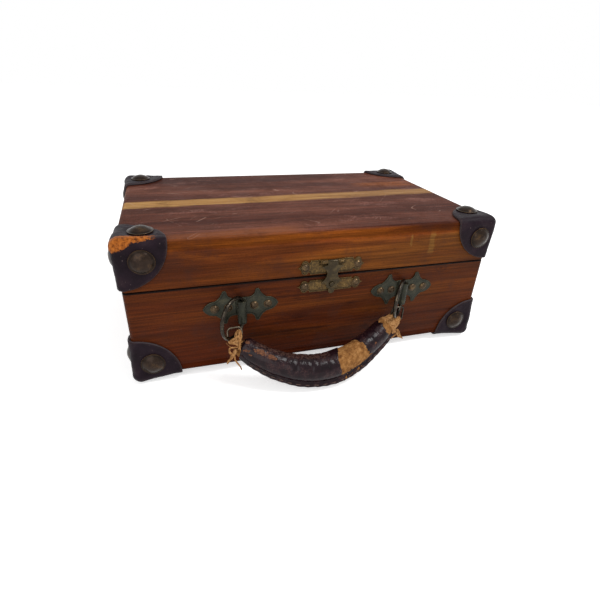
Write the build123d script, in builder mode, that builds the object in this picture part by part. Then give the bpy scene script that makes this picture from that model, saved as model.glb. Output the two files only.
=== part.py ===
"""Small cedar shaving chest with leather corners, a brass hasp and a ring-hung handle.

Millimetres, +Z up, +X along the case, the front faces -Y. The origin is on the plane the chest
stands on, below the middle of the case.
"""
import os
from math import cos, radians, sin, sqrt

from build123d import *

# Case
case_length = 254.0
case_depth = 160.0
case_height = 93.5
lid_height = 31.2
board_thickness = 8.0
top_panel_thickness = 7.0
bottom_panel_thickness = 6.0
panel_step = 1.5
panel_fit = 0.2
edge_radius = 3.0
rim_chamfer = 0.4
seam_gap = 0.5
socket_fit = 0.1

# Leather corners and their domed nails
corner_reach = 29.0
leather_thickness = 1.8
leather_fit = 0.1
nail_head_radius = 7.5
nail_head_height = 3.2
nail_rim_height = 0.7
nail_shank_width = 1.7
nail_bite = 5.0

# Domed tacks of the fittings
tack_head_radius = 2.8
tack_head_height = 1.8
tack_rim_height = 0.45
tack_shank_width = 1.1
tack_bite = 5.5

# Handle plates and the rings that swing in them
ring_spacing = 117.0
ring_pair_offset = 1.5
plate_height = 46.0
plate_half_width = 24.6
plate_half_height = 12.0
plate_thickness = 1.0
barrel_length = 16.4
barrel_drop = 2.8
barrel_radius = 3.0
barrel_stand_off = 3.2
ring_radius = 13.3
ring_wire_radius = 1.25
ring_offset = 9.5
ring_bend_radius = 2.5
ring_fit = 0.08
ring_lean = 42.0

# End links between the rings and the handle
link_half_width = 4.5
link_rise = 6.5
link_wire_radius = 0.6
link_bend_radius = 2.6
link_foot_radius = 1.1
link_clearance = 0.4
eye_radius = 2.0
eye_length = 5.4
eye_fit = 0.08
far_eye_fit = 0.3

# Handle
handle_lean = 44.0
handle_drop = 25.4
handle_radius = 9.6
handle_end_radius = 6.6
handle_tip_length = 2.0
handle_tip_inset = 2.4
left_end_gap = 5.2
right_end_gap = 7.4
left_end_drop = 4.0
right_end_drop = 2.2
flange_width = 3.4
flange_half_thickness = 1.3
cover_thickness = 2.0
core_end_gap = 6.0
core_fit = 0.15
neck_radius = 1.3
neck_root_radius = 2.6
left_neck_relief = 0.9
right_neck_relief = 1.2

# Hasp
hasp_offset = 4.0
hasp_half_width = 23.5
hasp_leaf_height = 10.0
hasp_leaf_gap = 1.4
catch_height = 8.6
catch_gap = 2.6
hasp_thickness = 1.0
hasp_tack_inset = 5.0
hasp_knuckle_radius = 1.5
hasp_pin_radius = 0.7
hasp_pin_fit = 0.06
hasp_knuckle_width = 7.0
hasp_side_knuckle_width = 4.9
hasp_knuckle_gap = 0.2
tongue_thickness = 0.9
tongue_shoulder = 8.0
tongue_waist = 3.6
tongue_wing = 7.6
tongue_foot = 3.7
tongue_tab = 2.1
tongue_shoulder_drop = 3.0
tongue_waist_drop = 8.0
tongue_wing_drop = 14.4
tongue_foot_drop = 18.5
tongue_length = 23.0
tongue_hole_fit = 0.35
knob_radius = 1.7
knob_proud = 0.9
knob_crown_radius = 0.65
knob_rivet_radius = 0.8
knob_drop = 15.9

# Butt hinges at the back
hinge_spacing = 142.0
hinge_length = 32.0
hinge_leaf_depth = 7.0
hinge_leaf_thickness = 0.9
hinge_knuckle_radius = 2.2
hinge_pin_radius = 1.0
hinge_pin_fit = 0.06
hinge_knuckle_gap = 0.3
hinge_stand_off = 0.5
screw_spacing = 20.0
screw_head_radius = 1.9
screw_shank_radius = 0.9
screw_length = 6.5
screw_head_height = 0.9
screw_head_taper = 45.0

# One overrun serves all cuts
overrun = 1.0

# Heights worked out from the sizes above
skin = leather_fit + leather_thickness
foot_height = skin + nail_head_height
top_of_case = foot_height + case_height
seam_height = top_of_case - lid_height
base_rim = seam_height - seam_gap / 2
lid_rim = seam_height + seam_gap / 2
front_face = -case_depth / 2
back_face = case_depth / 2
nail_socket_width = nail_shank_width + 2 * socket_fit
nail_socket_depth = skin + nail_bite + socket_fit
tack_socket_width = tack_shank_width + 2 * socket_fit
tack_socket_depth = tack_bite + socket_fit
screw_hole_radius = screw_shank_radius + socket_fit
screw_hole_depth = screw_length + socket_fit

os.makedirs("parts", exist_ok=True)


def save(piece, node_name):
    """Labels one finished piece and writes its STEP file."""
    piece.part.label = node_name
    export_step(piece.part, f"parts/{node_name}.step")


# Places of the domed nails. Each corner has three, one to a face. The shares are of the corner's
# reach: how far the nail stands from the two edges that meet at that corner of its face.
usual_shares = (0.43, 0.41)
nail_shares = {
    ("lid", "front_left", "front"): (0.48, 0.38),
    ("lid", "front_right", "front"): (0.36, 0.43),
    ("base", "front_left", "front"): (0.39, 0.38),
    ("base", "front_right", "front"): (0.47, 0.42),
    ("lid", "front_left", "flat"): (0.50, 0.50),
    ("lid", "front_right", "flat"): (0.38, 0.62),
    ("lid", "back_left", "flat"): (0.38, 0.41),
    ("lid", "back_right", "flat"): (0.40, 0.36),
}
corner_signs = {
    "front_left": (-1, -1),
    "front_right": (1, -1),
    "back_left": (-1, 1),
    "back_right": (1, 1),
}


def nail_planes(half, faces=("front", "side", "flat"), corners=tuple(corner_signs)):
    """Planes on the leather, one under each nail head of a half, with Z out of the case."""
    planes = []
    edge_height = top_of_case if half == "lid" else foot_height
    up = 1 if half == "lid" else -1
    for corner in corners:
        sign_x, sign_y = corner_signs[corner]
        for face in faces:
            share_a, share_b = nail_shares.get((half, corner, face), usual_shares)
            in_a = corner_reach * share_a
            in_b = corner_reach * share_b
            if face == "front":
                origin = (
                    sign_x * (case_length / 2 - in_a),
                    sign_y * (case_depth / 2 + skin),
                    edge_height - up * in_b,
                )
                planes.append(Plane(origin=origin, x_dir=(1, 0, 0), z_dir=(0, sign_y, 0)))
            elif face == "side":
                origin = (
                    sign_x * (case_length / 2 + skin),
                    sign_y * (case_depth / 2 - in_a),
                    edge_height - up * in_b,
                )
                planes.append(Plane(origin=origin, x_dir=(0, 1, 0), z_dir=(sign_x, 0, 0)))
            else:
                origin = (
                    sign_x * (case_length / 2 - in_a),
                    sign_y * (case_depth / 2 - in_b),
                    edge_height + up * skin,
                )
                planes.append(Plane(origin=origin, x_dir=(1, 0, 0), z_dir=(0, 0, up)))
    return planes


# Tack places of the fittings, as planes on the metal with Z out of the front
def front_plane(x, z, stand_off):
    """A plane parallel to the front face, with X along the case and Z out of the front."""
    return Plane(origin=(x, front_face - stand_off, z), x_dir=(1, 0, 0), z_dir=(0, -1, 0))


plate_centres = {
    "left": ring_pair_offset - ring_spacing / 2,
    "right": ring_pair_offset + ring_spacing / 2,
}
plate_middle = foot_height + plate_height
plate_tack_shares = (-0.70, -0.35, 0.34, 0.71)
plate_tack_planes = {
    side: [
        front_plane(centre + share * plate_half_width, plate_middle, plate_thickness)
        for share in plate_tack_shares
    ]
    for side, centre in plate_centres.items()
}
all_plate_tack_planes = plate_tack_planes["left"] + plate_tack_planes["right"]
leaf_middle = lid_rim + hasp_leaf_gap + hasp_leaf_height / 2
catch_middle = base_rim - catch_gap - catch_height / 2
hasp_tack_reach = hasp_half_width - hasp_tack_inset
leaf_tack_planes = [
    front_plane(hasp_offset + side * hasp_tack_reach, leaf_middle, hasp_thickness) for side in (-1, 1)
]
catch_tack_planes = [
    front_plane(hasp_offset + side * hasp_tack_reach, catch_middle, hasp_thickness) for side in (-1, 1)
]
front_tack_planes = {"base": all_plate_tack_planes + catch_tack_planes, "lid": leaf_tack_planes}

# Places of the hinges and of their screws, as planes on the leaves
hinge_centres = (-hinge_spacing / 2, hinge_spacing / 2)
hinge_axis_y = back_face + hinge_stand_off + hinge_knuckle_radius
screw_row = back_face - hinge_leaf_depth / 2


def screw_planes(rim, up):
    """Planes on the leaves at a rim, one for each screw, with Z out of the wood."""
    return [
        Plane(origin=(centre + side * screw_spacing / 2, screw_row, rim), x_dir=(1, 0, 0), z_dir=(0, 0, up))
        for centre in hinge_centres
        for side in (-1, 1)
    ]


# Cedar boards. The long front and back boards cover the ends of the side boards, and the panels
# are laid flush over all four, as when a closed box is sawn apart at the seam.
half_walls = {
    "base": (foot_height + bottom_panel_thickness, base_rim),
    "lid": (lid_rim, top_of_case - top_panel_thickness),
}
for half, (wall_bottom, wall_top) in half_walls.items():
    wall_height = wall_top - wall_bottom
    wall_middle = (wall_top + wall_bottom) / 2
    rim_side = -1 if half == "base" else 0
    for name, sign_y in (("front", -1), ("back", 1)):
        with BuildPart() as long_board:
            with Locations((0, sign_y * (case_depth - board_thickness) / 2, wall_middle)):
                Box(case_length, board_thickness, wall_height)
            outer_side = 0 if name == "front" else -1
            fillet(long_board.edges().filter_by(Axis.Z).group_by(Axis.Y)[outer_side], edge_radius)
            rim_edges = long_board.edges().group_by(Axis.Z)[rim_side].filter_by(Axis.X)
            chamfer(rim_edges.group_by(Axis.Y)[outer_side], rim_chamfer)
            corners = tuple(corner for corner, signs in corner_signs.items() if signs[1] == sign_y)
            with BuildSketch(*nail_planes(half, ("front",), corners)):
                Rectangle(nail_socket_width, nail_socket_width)
            extrude(amount=-nail_socket_depth, mode=Mode.SUBTRACT)
            if name == "front":
                with BuildSketch(*front_tack_planes[half]):
                    Rectangle(tack_socket_width, tack_socket_width)
                extrude(amount=-tack_socket_depth, mode=Mode.SUBTRACT)
            if name == "back":
                rim = base_rim if half == "base" else lid_rim
                up = 1 if half == "base" else -1
                for centre in hinge_centres:
                    with Locations((centre, back_face, rim)):
                        Box(
                            hinge_length + 2 * socket_fit,
                            2 * (hinge_leaf_depth + socket_fit),
                            2 * hinge_leaf_thickness,
                            mode=Mode.SUBTRACT,
                        )
                with BuildSketch(*screw_planes(rim, up)):
                    Circle(screw_hole_radius)
                extrude(amount=-screw_hole_depth, mode=Mode.SUBTRACT)
        save(long_board, f"{half}_{name}_board")
    for name, sign_x in (("left", -1), ("right", 1)):
        with BuildPart() as side_board:
            with Locations((sign_x * (case_length - board_thickness) / 2, 0, wall_middle)):
                Box(board_thickness, case_depth - 2 * board_thickness, wall_height)
            outer_side = 0 if name == "left" else -1
            rim_edges = side_board.edges().group_by(Axis.Z)[rim_side].filter_by(Axis.Y)
            chamfer(rim_edges.group_by(Axis.X)[outer_side], rim_chamfer)
            corners = tuple(corner for corner, signs in corner_signs.items() if signs[0] == sign_x)
            with BuildSketch(*nail_planes(half, ("side",), corners)):
                Rectangle(nail_socket_width, nail_socket_width)
            extrude(amount=-nail_socket_depth, mode=Mode.SUBTRACT)
        save(side_board, f"{half}_{name}_side_board")

# Bottom and top panels, with their outer edges rounded over. The inner face of each has a step all
# round, so that its raised middle sits inside the four walls and keeps them square.
panels = {
    "base_bottom_panel": ("base", foot_height, bottom_panel_thickness),
    "lid_top_panel": ("lid", top_of_case - top_panel_thickness, top_panel_thickness),
}
field_length = case_length - 2 * (board_thickness + panel_fit)
field_depth = case_depth - 2 * (board_thickness + panel_fit)
for node_name, (half, low, thickness) in panels.items():
    field_middle = low + thickness + panel_step / 2 if half == "base" else low - panel_step / 2
    with BuildPart() as panel:
        with Locations((0, 0, low + thickness / 2)):
            Box(case_length, case_depth, thickness)
        outer_face = panel.faces().sort_by(Axis.Z)[0 if half == "base" else -1]
        fillet(panel.edges().filter_by(Axis.Z) + outer_face.edges(), edge_radius)
        with Locations((0, 0, field_middle)):
            Box(field_length, field_depth, panel_step)
        with BuildSketch(*nail_planes(half, ("flat",))):
            Rectangle(nail_socket_width, nail_socket_width)
        extrude(amount=-nail_socket_depth, mode=Mode.SUBTRACT)
    save(panel, node_name)


# Leather corners. Each is a wet-formed skin over one corner of the case, cut to a round that is
# centred on the corner of the wood.
def rounded_block(growth):
    """The case's outer shape, grown on all sides, with every edge rounded."""
    with BuildPart() as block:
        with Locations((0, 0, foot_height + case_height / 2)):
            Box(case_length + 2 * growth, case_depth + 2 * growth, case_height + 2 * growth)
        fillet(block.edges(), edge_radius + growth)
    return block


outer_block = rounded_block(skin)
inner_block = rounded_block(leather_fit)
for half, corner_height in (("base", foot_height), ("lid", top_of_case)):
    for corner, (sign_x, sign_y) in corner_signs.items():
        with BuildPart() as leather:
            add(outer_block.part)
            with Locations((sign_x * case_length / 2, sign_y * case_depth / 2, corner_height)):
                Sphere(corner_reach, mode=Mode.INTERSECT)
            add(inner_block.part, mode=Mode.SUBTRACT)
            with BuildSketch(*nail_planes(half, corners=(corner,))):
                Rectangle(nail_socket_width, nail_socket_width)
            extrude(amount=-nail_socket_depth, mode=Mode.SUBTRACT)
        save(leather, f"{half}_corner_{corner}")


# Domed nails and tacks, each turned with a thin rim under its dome and a square shank
def domed_nail(radius, height, rim_height, shank_width, shank_length):
    """A nail with its head's underside at the origin and its shank down -Z."""
    dome_height = height - rim_height
    dome_radius = (radius**2 + dome_height**2) / (2 * dome_height)
    with BuildPart() as nail:
        with BuildSketch(Plane.XZ):
            with BuildLine():
                base_line = Line((0, 0), (radius, 0))
                rim_line = Line(base_line @ 1, (radius, rim_height))
                dome_arc = RadiusArc(rim_line @ 1, (0, height), -dome_radius)
                Line(dome_arc @ 1, (0, 0))
            make_face()
        revolve(axis=Axis.Z)
        with Locations((0, 0, -shank_length / 2)):
            Box(shank_width, shank_width, shank_length)
    return nail


corner_nail = domed_nail(
    nail_head_radius, nail_head_height, nail_rim_height, nail_shank_width, skin + nail_bite
)
tack = domed_nail(
    tack_head_radius, tack_head_height, tack_rim_height, tack_shank_width, tack_bite
)


def save_copies(pattern, planes, node_name):
    """Writes one node of separate, identical fasteners, one on each plane."""
    with BuildPart() as group:
        with Locations(*[plane.location for plane in planes]):
            add(pattern.part)
    save(group, node_name)


save_copies(corner_nail, nail_planes("base", ("front", "side")), "base_corner_nails")
save_copies(corner_nail, nail_planes("base", ("flat",)), "foot_nails")
save_copies(corner_nail, nail_planes("lid"), "lid_corner_nails")
save_copies(tack, all_plate_tack_planes, "handle_plate_tacks")
save_copies(tack, catch_tack_planes, "catch_plate_tacks")
save_copies(tack, leaf_tack_planes, "hasp_leaf_tacks")

# Handle plates. The outline is one quarter, mirrored twice: a waist at the barrel, a round notch,
# a wing, a hollow shoulder and a pointed end. The shares are of the plate's half width and height.
waist_shares = (0.14, 0.54)
notch_shares = (0.29, 0.585)
notch_end_shares = (0.375, 0.88)
wing_tip_shares = (0.43, 1.0)
wing_end_shares = (0.495, 0.90)
shoulder_shares = (0.58, 0.61)
shoulder_end_shares = (0.69, 0.43)
point_shares = (0.87, 0.32)


def plate_point(shares):
    """A point of the plate's outline from its shares of the half width and half height."""
    return (shares[0] * plate_half_width, shares[1] * plate_half_height)


barrel_axis_y = front_face - barrel_stand_off
barrel_middle = plate_middle - barrel_drop
for side, centre in plate_centres.items():
    with BuildPart() as plate:
        with BuildSketch(front_plane(centre, plate_middle, 0)):
            with BuildLine():
                waist = plate_point(waist_shares)
                top_line = Line((0, waist[1]), waist)
                notch = ThreePointArc(top_line @ 1, plate_point(notch_shares), plate_point(notch_end_shares))
                wing = ThreePointArc(notch @ 1, plate_point(wing_tip_shares), plate_point(wing_end_shares))
                shoulder = ThreePointArc(
                    wing @ 1, plate_point(shoulder_shares), plate_point(shoulder_end_shares)
                )
                point = ThreePointArc(shoulder @ 1, plate_point(point_shares), (plate_half_width, 0))
                Line(point @ 1, (0, 0))
                Line((0, 0), top_line @ 0)
            make_face()
            mirror(about=Plane.YZ)
            mirror(about=Plane.XZ)
        extrude(amount=plate_thickness)
        with BuildSketch(Plane.XY.offset(barrel_middle - barrel_length / 2)):
            with Locations((centre, barrel_axis_y)):
                Circle(barrel_radius)
            with Locations((centre, front_face + barrel_radius)):
                Rectangle(2 * barrel_radius, 2 * barrel_radius, mode=Mode.SUBTRACT)
        extrude(amount=barrel_length)
        with BuildSketch(Plane.XY.offset(barrel_middle - barrel_length / 2 - overrun)):
            with Locations((centre, barrel_axis_y)):
                Circle(ring_wire_radius + ring_fit)
        extrude(amount=barrel_length + 2 * overrun, mode=Mode.SUBTRACT)
        with BuildSketch(*plate_tack_planes[side]):
            Rectangle(tack_socket_width, tack_socket_width)
        extrude(amount=-(plate_thickness + overrun), mode=Mode.SUBTRACT)
    save(plate, f"{side}_handle_plate")

# Rings. Each is bent from round wire with one straight side, which turns in the plate's barrel,
# and both lean the same way, as the photographed ones do.
lean = radians(ring_lean)
ring_out = (-sin(lean), -cos(lean), 0)
ring_side = (-cos(lean), sin(lean), 0)
bar_half = sqrt(ring_radius**2 - ring_offset**2)
ring_foot = {}
for side, centre in plate_centres.items():
    bar_middle = Vector(centre, barrel_axis_y, barrel_middle)
    ring_plane = Plane(origin=bar_middle, x_dir=ring_out, z_dir=ring_side)
    ring_foot[side] = bar_middle + Vector(*ring_out) * ring_offset - Vector(0, 0, ring_radius)
    with BuildPart() as ring:
        with BuildLine(ring_plane) as ring_path:
            bow = ThreePointArc((0, bar_half), (ring_offset + ring_radius, 0), (0, -bar_half))
            Line(bow @ 1, bow @ 0)
            fillet(ring_path.vertices(), ring_bend_radius)
        bow_edge = ring_path.edges().sort_by(Edge.length)[-1]
        with BuildSketch(Plane(origin=bow_edge @ 0, z_dir=bow_edge % 0)):
            Circle(ring_wire_radius)
        sweep(path=ring_path.wire())
    save(ring, f"{side}_ring")

# End links. Each is an upright wire loop that hangs round its ring's lowest point, with a straight
# foot along X for the eye of the handle.
eye_drop = ring_wire_radius + link_clearance + eye_radius
pivot_height = ring_foot["left"].Z - eye_drop
for side, foot in ring_foot.items():
    with BuildPart() as link:
        with BuildLine(Plane(origin=(foot.X, foot.Y, pivot_height), x_dir=(1, 0, 0), z_dir=(0, -1, 0))) as link_path:
            top = eye_drop + link_rise
            Polyline(
                (-link_half_width, 0),
                (link_half_width, 0),
                (link_half_width, top),
                (-link_half_width, top),
                close=True,
            )
            fillet(link_path.vertices().group_by(Axis.Z)[-1], link_bend_radius)
            fillet(link_path.vertices().group_by(Axis.Z)[0], link_foot_radius)
        foot_edge = link_path.edges().sort_by(Axis.Z)[0]
        with BuildSketch(Plane(origin=foot_edge @ 0, z_dir=foot_edge % 0)):
            Circle(link_wire_radius)
        sweep(path=link_path.wire())
    save(link, f"{side}_end_link")

# Handle. Its own plane leans forward from the pivots: X stays along the case, Y points away from
# them. The line of the handle runs between its eyes, and the sections stand square on it. Wear has
# bent it out of true, so that its right end rises more steeply.
tilt = radians(handle_lean)
outward = Vector(0, -sin(tilt), -cos(tilt))
across = Vector(0, cos(tilt), -sin(tilt))
pivots = {side: Vector(foot.X, foot.Y, pivot_height) for side, foot in ring_foot.items()}
pivot_half = (pivots["right"].X - pivots["left"].X) / 2
pivot_middle = (pivots["left"] + pivots["right"]) * 0.5
left_reach = pivot_half - left_end_gap
right_reach = pivot_half - right_end_gap
shoulder_share = 0.55
left_shoulder_drop_share = 0.80
right_shoulder_drop_share = 0.65
with BuildLine(Plane(origin=pivot_middle, x_dir=(1, 0, 0), z_dir=across)) as handle_line:
    Spline(
        (-left_reach, left_end_drop),
        (-left_reach * shoulder_share, handle_drop * left_shoulder_drop_share),
        (0, handle_drop),
        (right_reach * shoulder_share, handle_drop * right_shoulder_drop_share),
        (right_reach, right_end_drop),
    )
handle_edge = handle_line.edges()[0]
fullness_power = 1.5


def section_plane(place):
    """A plane square on the handle's line, with Y towards the inside of its bow."""
    return Plane(origin=handle_edge @ place, x_dir=across, z_dir=handle_edge % place)


def fullness(place):
    """How full the handle is at a place along its line, from 0 at its ends to 1 at its middle."""
    return 1 - abs(2 * place - 1) ** fullness_power


def section_radius(place):
    """The outer radius of the leather at a place along the line."""
    return handle_end_radius + fullness(place) * (handle_radius - handle_end_radius)


def leather_section(plane, radius, flange):
    """One section of the sewn cover: a round with the two edges laid together as a flange."""
    root = -sqrt(radius**2 - flange_half_thickness**2)
    with BuildSketch(plane) as section:
        with BuildLine():
            right_arc = ThreePointArc((flange_half_thickness, root), (radius, 0), (0, radius))
            left_arc = ThreePointArc(right_arc @ 1, (-radius, 0), (-flange_half_thickness, root))
            left_side = Line(left_arc @ 1, (-flange_half_thickness, -radius - flange))
            tip_line = Line(left_side @ 1, (flange_half_thickness, -radius - flange))
            Line(tip_line @ 1, right_arc @ 0)
        make_face()
    return section.sketch


def flange_at(place):
    """The flange's width at a place along the line. It runs out towards the ends."""
    return flange_width * (1 + fullness(place)) / 2


end_shares = (0, 0.12, 0.88, 1)
middle_shares = (0.3, 0.5, 0.7)
section_shares = sorted(end_shares + middle_shares)
with BuildPart() as handle_cover:
    loft([leather_section(section_plane(p), section_radius(p), flange_at(p)) for p in section_shares])
    for place in (0, 1):
        tip_plane = section_plane(place).offset((2 * place - 1) * handle_tip_length)
        tip_radius = section_radius(place) - handle_tip_inset
        end_section = leather_section(section_plane(place), section_radius(place), flange_at(place))
        loft([end_section, leather_section(tip_plane, tip_radius, flange_at(place) / 2)])
    core_end_share = core_end_gap / handle_edge.length
    for place in (core_end_share, *middle_shares, 1 - core_end_share):
        with BuildSketch(section_plane(place)):
            Circle(section_radius(place) - cover_thickness)
    loft(mode=Mode.SUBTRACT)
save(handle_cover, "handle_cover")

core_start_share = core_end_share + core_fit / handle_edge.length
with BuildPart() as handle_core:
    for place in (core_start_share, *middle_shares, 1 - core_start_share):
        with BuildSketch(section_plane(place)):
            Circle(section_radius(place) - cover_thickness - core_fit)
    loft()
save(handle_core, "handle_core")

# Leather eyes of the handle. Each neck leaves the end of the cover and is sewn round a link's foot.
# Beside the eye the neck is cut back, so that it clears the corner of the link.
link_outer_half = link_half_width + link_wire_radius + far_eye_fit
relief_width = link_outer_half - eye_length / 2
relief_middle = (link_outer_half + eye_length / 2) / 2
for side, place, fit, relief in (
    ("left", 0, eye_fit, left_neck_relief),
    ("right", 1, far_eye_fit, right_neck_relief),
):
    pivot = pivots[side]
    tip_plane = section_plane(place).offset((2 * place - 1) * handle_tip_length)
    with BuildPart() as eye:
        with BuildSketch(tip_plane):
            Circle(neck_root_radius)
        with BuildSketch(Plane(origin=pivot, x_dir=across, z_dir=tip_plane.z_dir)):
            Circle(neck_radius)
        loft()
        with BuildSketch(Plane.YZ.offset(pivot.X - eye_length / 2)):
            with Locations((pivot.Y, pivot.Z)):
                Circle(eye_radius)
        extrude(amount=eye_length)
        with BuildSketch(Plane.YZ.offset(pivot.X - eye_length / 2 - overrun)):
            with Locations((pivot.Y, pivot.Z)):
                Circle(link_wire_radius + fit)
        extrude(amount=eye_length + 2 * overrun, mode=Mode.SUBTRACT)
        with BuildSketch(Plane(origin=pivot, x_dir=(1, 0, 0), z_dir=across)):
            with Locations((-relief_middle, 0), (relief_middle, 0)):
                Rectangle(relief_width, 2 * relief)
        extrude(amount=neck_root_radius, both=True, mode=Mode.SUBTRACT)
    save(eye, f"{side}_handle_eye")

# Hasp. Both plates share one outline, drawn as a quarter and mirrored twice: a straight edge, a
# notch, a lobe round the tack and a hollow point. The shares are of the half width and half height.
edge_end_shares = (0.64, 1.0)
hasp_notch_shares = (0.655, 0.74)
lobe_start_shares = (0.70, 0.70)
lobe_middle_shares = (0.79, 1.0)
lobe_end_shares = (0.895, 0.62)
hasp_point_shares = (0.925, 0.24)
hasp_middles = {"hasp_leaf": (leaf_middle, hasp_leaf_height), "catch_plate": (catch_middle, catch_height)}


def hasp_plate_face(node_name):
    """The outline of one of the two hasp plates, on the front of the case."""
    middle, height = hasp_middles[node_name]

    def at(shares):
        return (shares[0] * hasp_half_width, shares[1] * height / 2)

    with BuildSketch(front_plane(hasp_offset, middle, 0)) as outline:
        with BuildLine():
            edge = Line((0, height / 2), at(edge_end_shares))
            notch = ThreePointArc(edge @ 1, at(hasp_notch_shares), at(lobe_start_shares))
            lobe = ThreePointArc(notch @ 1, at(lobe_middle_shares), at(lobe_end_shares))
            point = ThreePointArc(lobe @ 1, at(hasp_point_shares), (hasp_half_width, 0))
            Line(point @ 1, (0, 0))
            Line((0, 0), edge @ 0)
        make_face()
        mirror(about=Plane.YZ)
        mirror(about=Plane.XZ)
    return outline.sketch


hasp_pin_height = leaf_middle + hasp_leaf_height / 2 - hasp_knuckle_radius
hasp_pin_y = front_face - hasp_knuckle_radius
hasp_knuckle_reach = hasp_knuckle_width / 2 + hasp_side_knuckle_width
side_knuckle_starts = (
    hasp_offset - hasp_knuckle_reach,
    hasp_offset + hasp_knuckle_width / 2 + hasp_knuckle_gap,
)
side_knuckle_length = hasp_side_knuckle_width - hasp_knuckle_gap
with BuildPart() as hasp_leaf:
    extrude(hasp_plate_face("hasp_leaf"), amount=hasp_thickness)
    window_height = 2 * (hasp_knuckle_radius + hasp_knuckle_gap)
    with BuildSketch(front_plane(hasp_offset, hasp_pin_height, 0)):
        Rectangle(hasp_knuckle_width + 2 * hasp_knuckle_gap, window_height)
    extrude(amount=hasp_thickness, mode=Mode.SUBTRACT)
    for start in side_knuckle_starts:
        with BuildSketch(Plane.YZ.offset(start)):
            with Locations((hasp_pin_y, hasp_pin_height)):
                Circle(hasp_knuckle_radius)
        extrude(amount=side_knuckle_length)
    with BuildSketch(Plane.YZ.offset(hasp_offset - hasp_knuckle_reach - overrun)):
        with Locations((hasp_pin_y, hasp_pin_height)):
            Circle(hasp_pin_radius + hasp_pin_fit)
    extrude(amount=2 * (hasp_knuckle_reach + overrun), mode=Mode.SUBTRACT)
    with BuildSketch(*leaf_tack_planes):
        Rectangle(tack_socket_width, tack_socket_width)
    extrude(amount=-(hasp_thickness + overrun), mode=Mode.SUBTRACT)
save(hasp_leaf, "hasp_leaf")

with BuildPart() as hasp_pin:
    with BuildSketch(Plane.YZ.offset(hasp_offset - hasp_knuckle_reach)):
        with Locations((hasp_pin_y, hasp_pin_height)):
            Circle(hasp_pin_radius)
    extrude(amount=2 * hasp_knuckle_reach)
save(hasp_pin, "hasp_pin")

# Tongue. Its sheet runs down from the front of its knuckle, and narrows to a waist between two pairs
# of points. A hole in its lower half snaps over the catch knob.
knob_height = hasp_pin_height - knob_drop
tongue_back = hasp_pin_y - hasp_knuckle_radius + tongue_thickness
tongue_plane = Plane(origin=(hasp_offset, tongue_back, hasp_pin_height), x_dir=(1, 0, 0), z_dir=(0, -1, 0))
shoulder_top = hasp_knuckle_radius + 2 * hasp_knuckle_gap
with BuildPart() as hasp_tongue:
    with BuildSketch(tongue_plane):
        with BuildLine():
            top_edge = Line((0, 0), (hasp_knuckle_width / 2, 0))
            neck = Line(top_edge @ 1, (hasp_knuckle_width / 2, -shoulder_top))
            shoulder = Line(neck @ 1, (tongue_shoulder, -tongue_shoulder_drop))
            waist_in = ThreePointArc(
                shoulder @ 1,
                ((tongue_shoulder + 3 * tongue_waist) / 4, -(tongue_shoulder_drop + tongue_waist_drop) / 2),
                (tongue_waist, -tongue_waist_drop),
            )
            waist_out = ThreePointArc(
                waist_in @ 1,
                ((tongue_wing + 3 * tongue_waist) / 4, -(tongue_wing_drop + tongue_waist_drop) / 2),
                (tongue_wing, -tongue_wing_drop),
            )
            foot_arc = ThreePointArc(
                waist_out @ 1,
                ((tongue_wing + 3 * tongue_foot) / 4, -(3 * tongue_wing_drop + tongue_foot_drop) / 4),
                (tongue_foot, -tongue_foot_drop),
            )
            tab_shoulder = Line(foot_arc @ 1, (tongue_tab, -tongue_foot_drop))
            tab_side = Line(tab_shoulder @ 1, (tongue_tab, tongue_tab - tongue_length))
            tab_end = RadiusArc(tab_side @ 1, (0, -tongue_length), tongue_tab)
            Line(tab_end @ 1, (0, 0))
        make_face()
        mirror(about=Plane.YZ)
    extrude(amount=tongue_thickness)
    with BuildSketch(Plane.YZ.offset(hasp_offset - hasp_knuckle_width / 2)):
        with Locations((hasp_pin_y, hasp_pin_height)):
            Circle(hasp_knuckle_radius)
    extrude(amount=hasp_knuckle_width)
    with BuildSketch(Plane.YZ.offset(hasp_offset - hasp_knuckle_reach)):
        with Locations((hasp_pin_y, hasp_pin_height)):
            Circle(hasp_pin_radius + hasp_pin_fit)
    extrude(amount=2 * hasp_knuckle_reach, mode=Mode.SUBTRACT)
    with BuildSketch(tongue_plane):
        with Locations((0, -knob_drop)):
            Circle(knob_radius + tongue_hole_fit)
    extrude(amount=tongue_thickness, mode=Mode.SUBTRACT)
save(hasp_tongue, "hasp_tongue")

# Catch plate and the turned knob that is riveted into it
with BuildPart() as catch_plate:
    extrude(hasp_plate_face("catch_plate"), amount=hasp_thickness)
    with BuildSketch(front_plane(hasp_offset, knob_height, 0)):
        Circle(knob_rivet_radius + socket_fit)
    extrude(amount=hasp_thickness, mode=Mode.SUBTRACT)
    with BuildSketch(*catch_tack_planes):
        Rectangle(tack_socket_width, tack_socket_width)
    extrude(amount=-(hasp_thickness + overrun), mode=Mode.SUBTRACT)
save(catch_plate, "catch_plate")

knob_side_height = front_face - hasp_thickness - (tongue_back - tongue_thickness)
with BuildPart() as catch_knob:
    with BuildSketch(front_plane(hasp_offset, knob_height, 0)):
        Circle(knob_rivet_radius)
    extrude(amount=hasp_thickness)
    with BuildSketch(front_plane(hasp_offset, knob_height, hasp_thickness)):
        Circle(knob_radius)
    extrude(amount=knob_side_height + knob_proud)
    fillet(catch_knob.faces().sort_by(Axis.Y)[0].edges(), knob_crown_radius)
save(catch_knob, "catch_knob")

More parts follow.
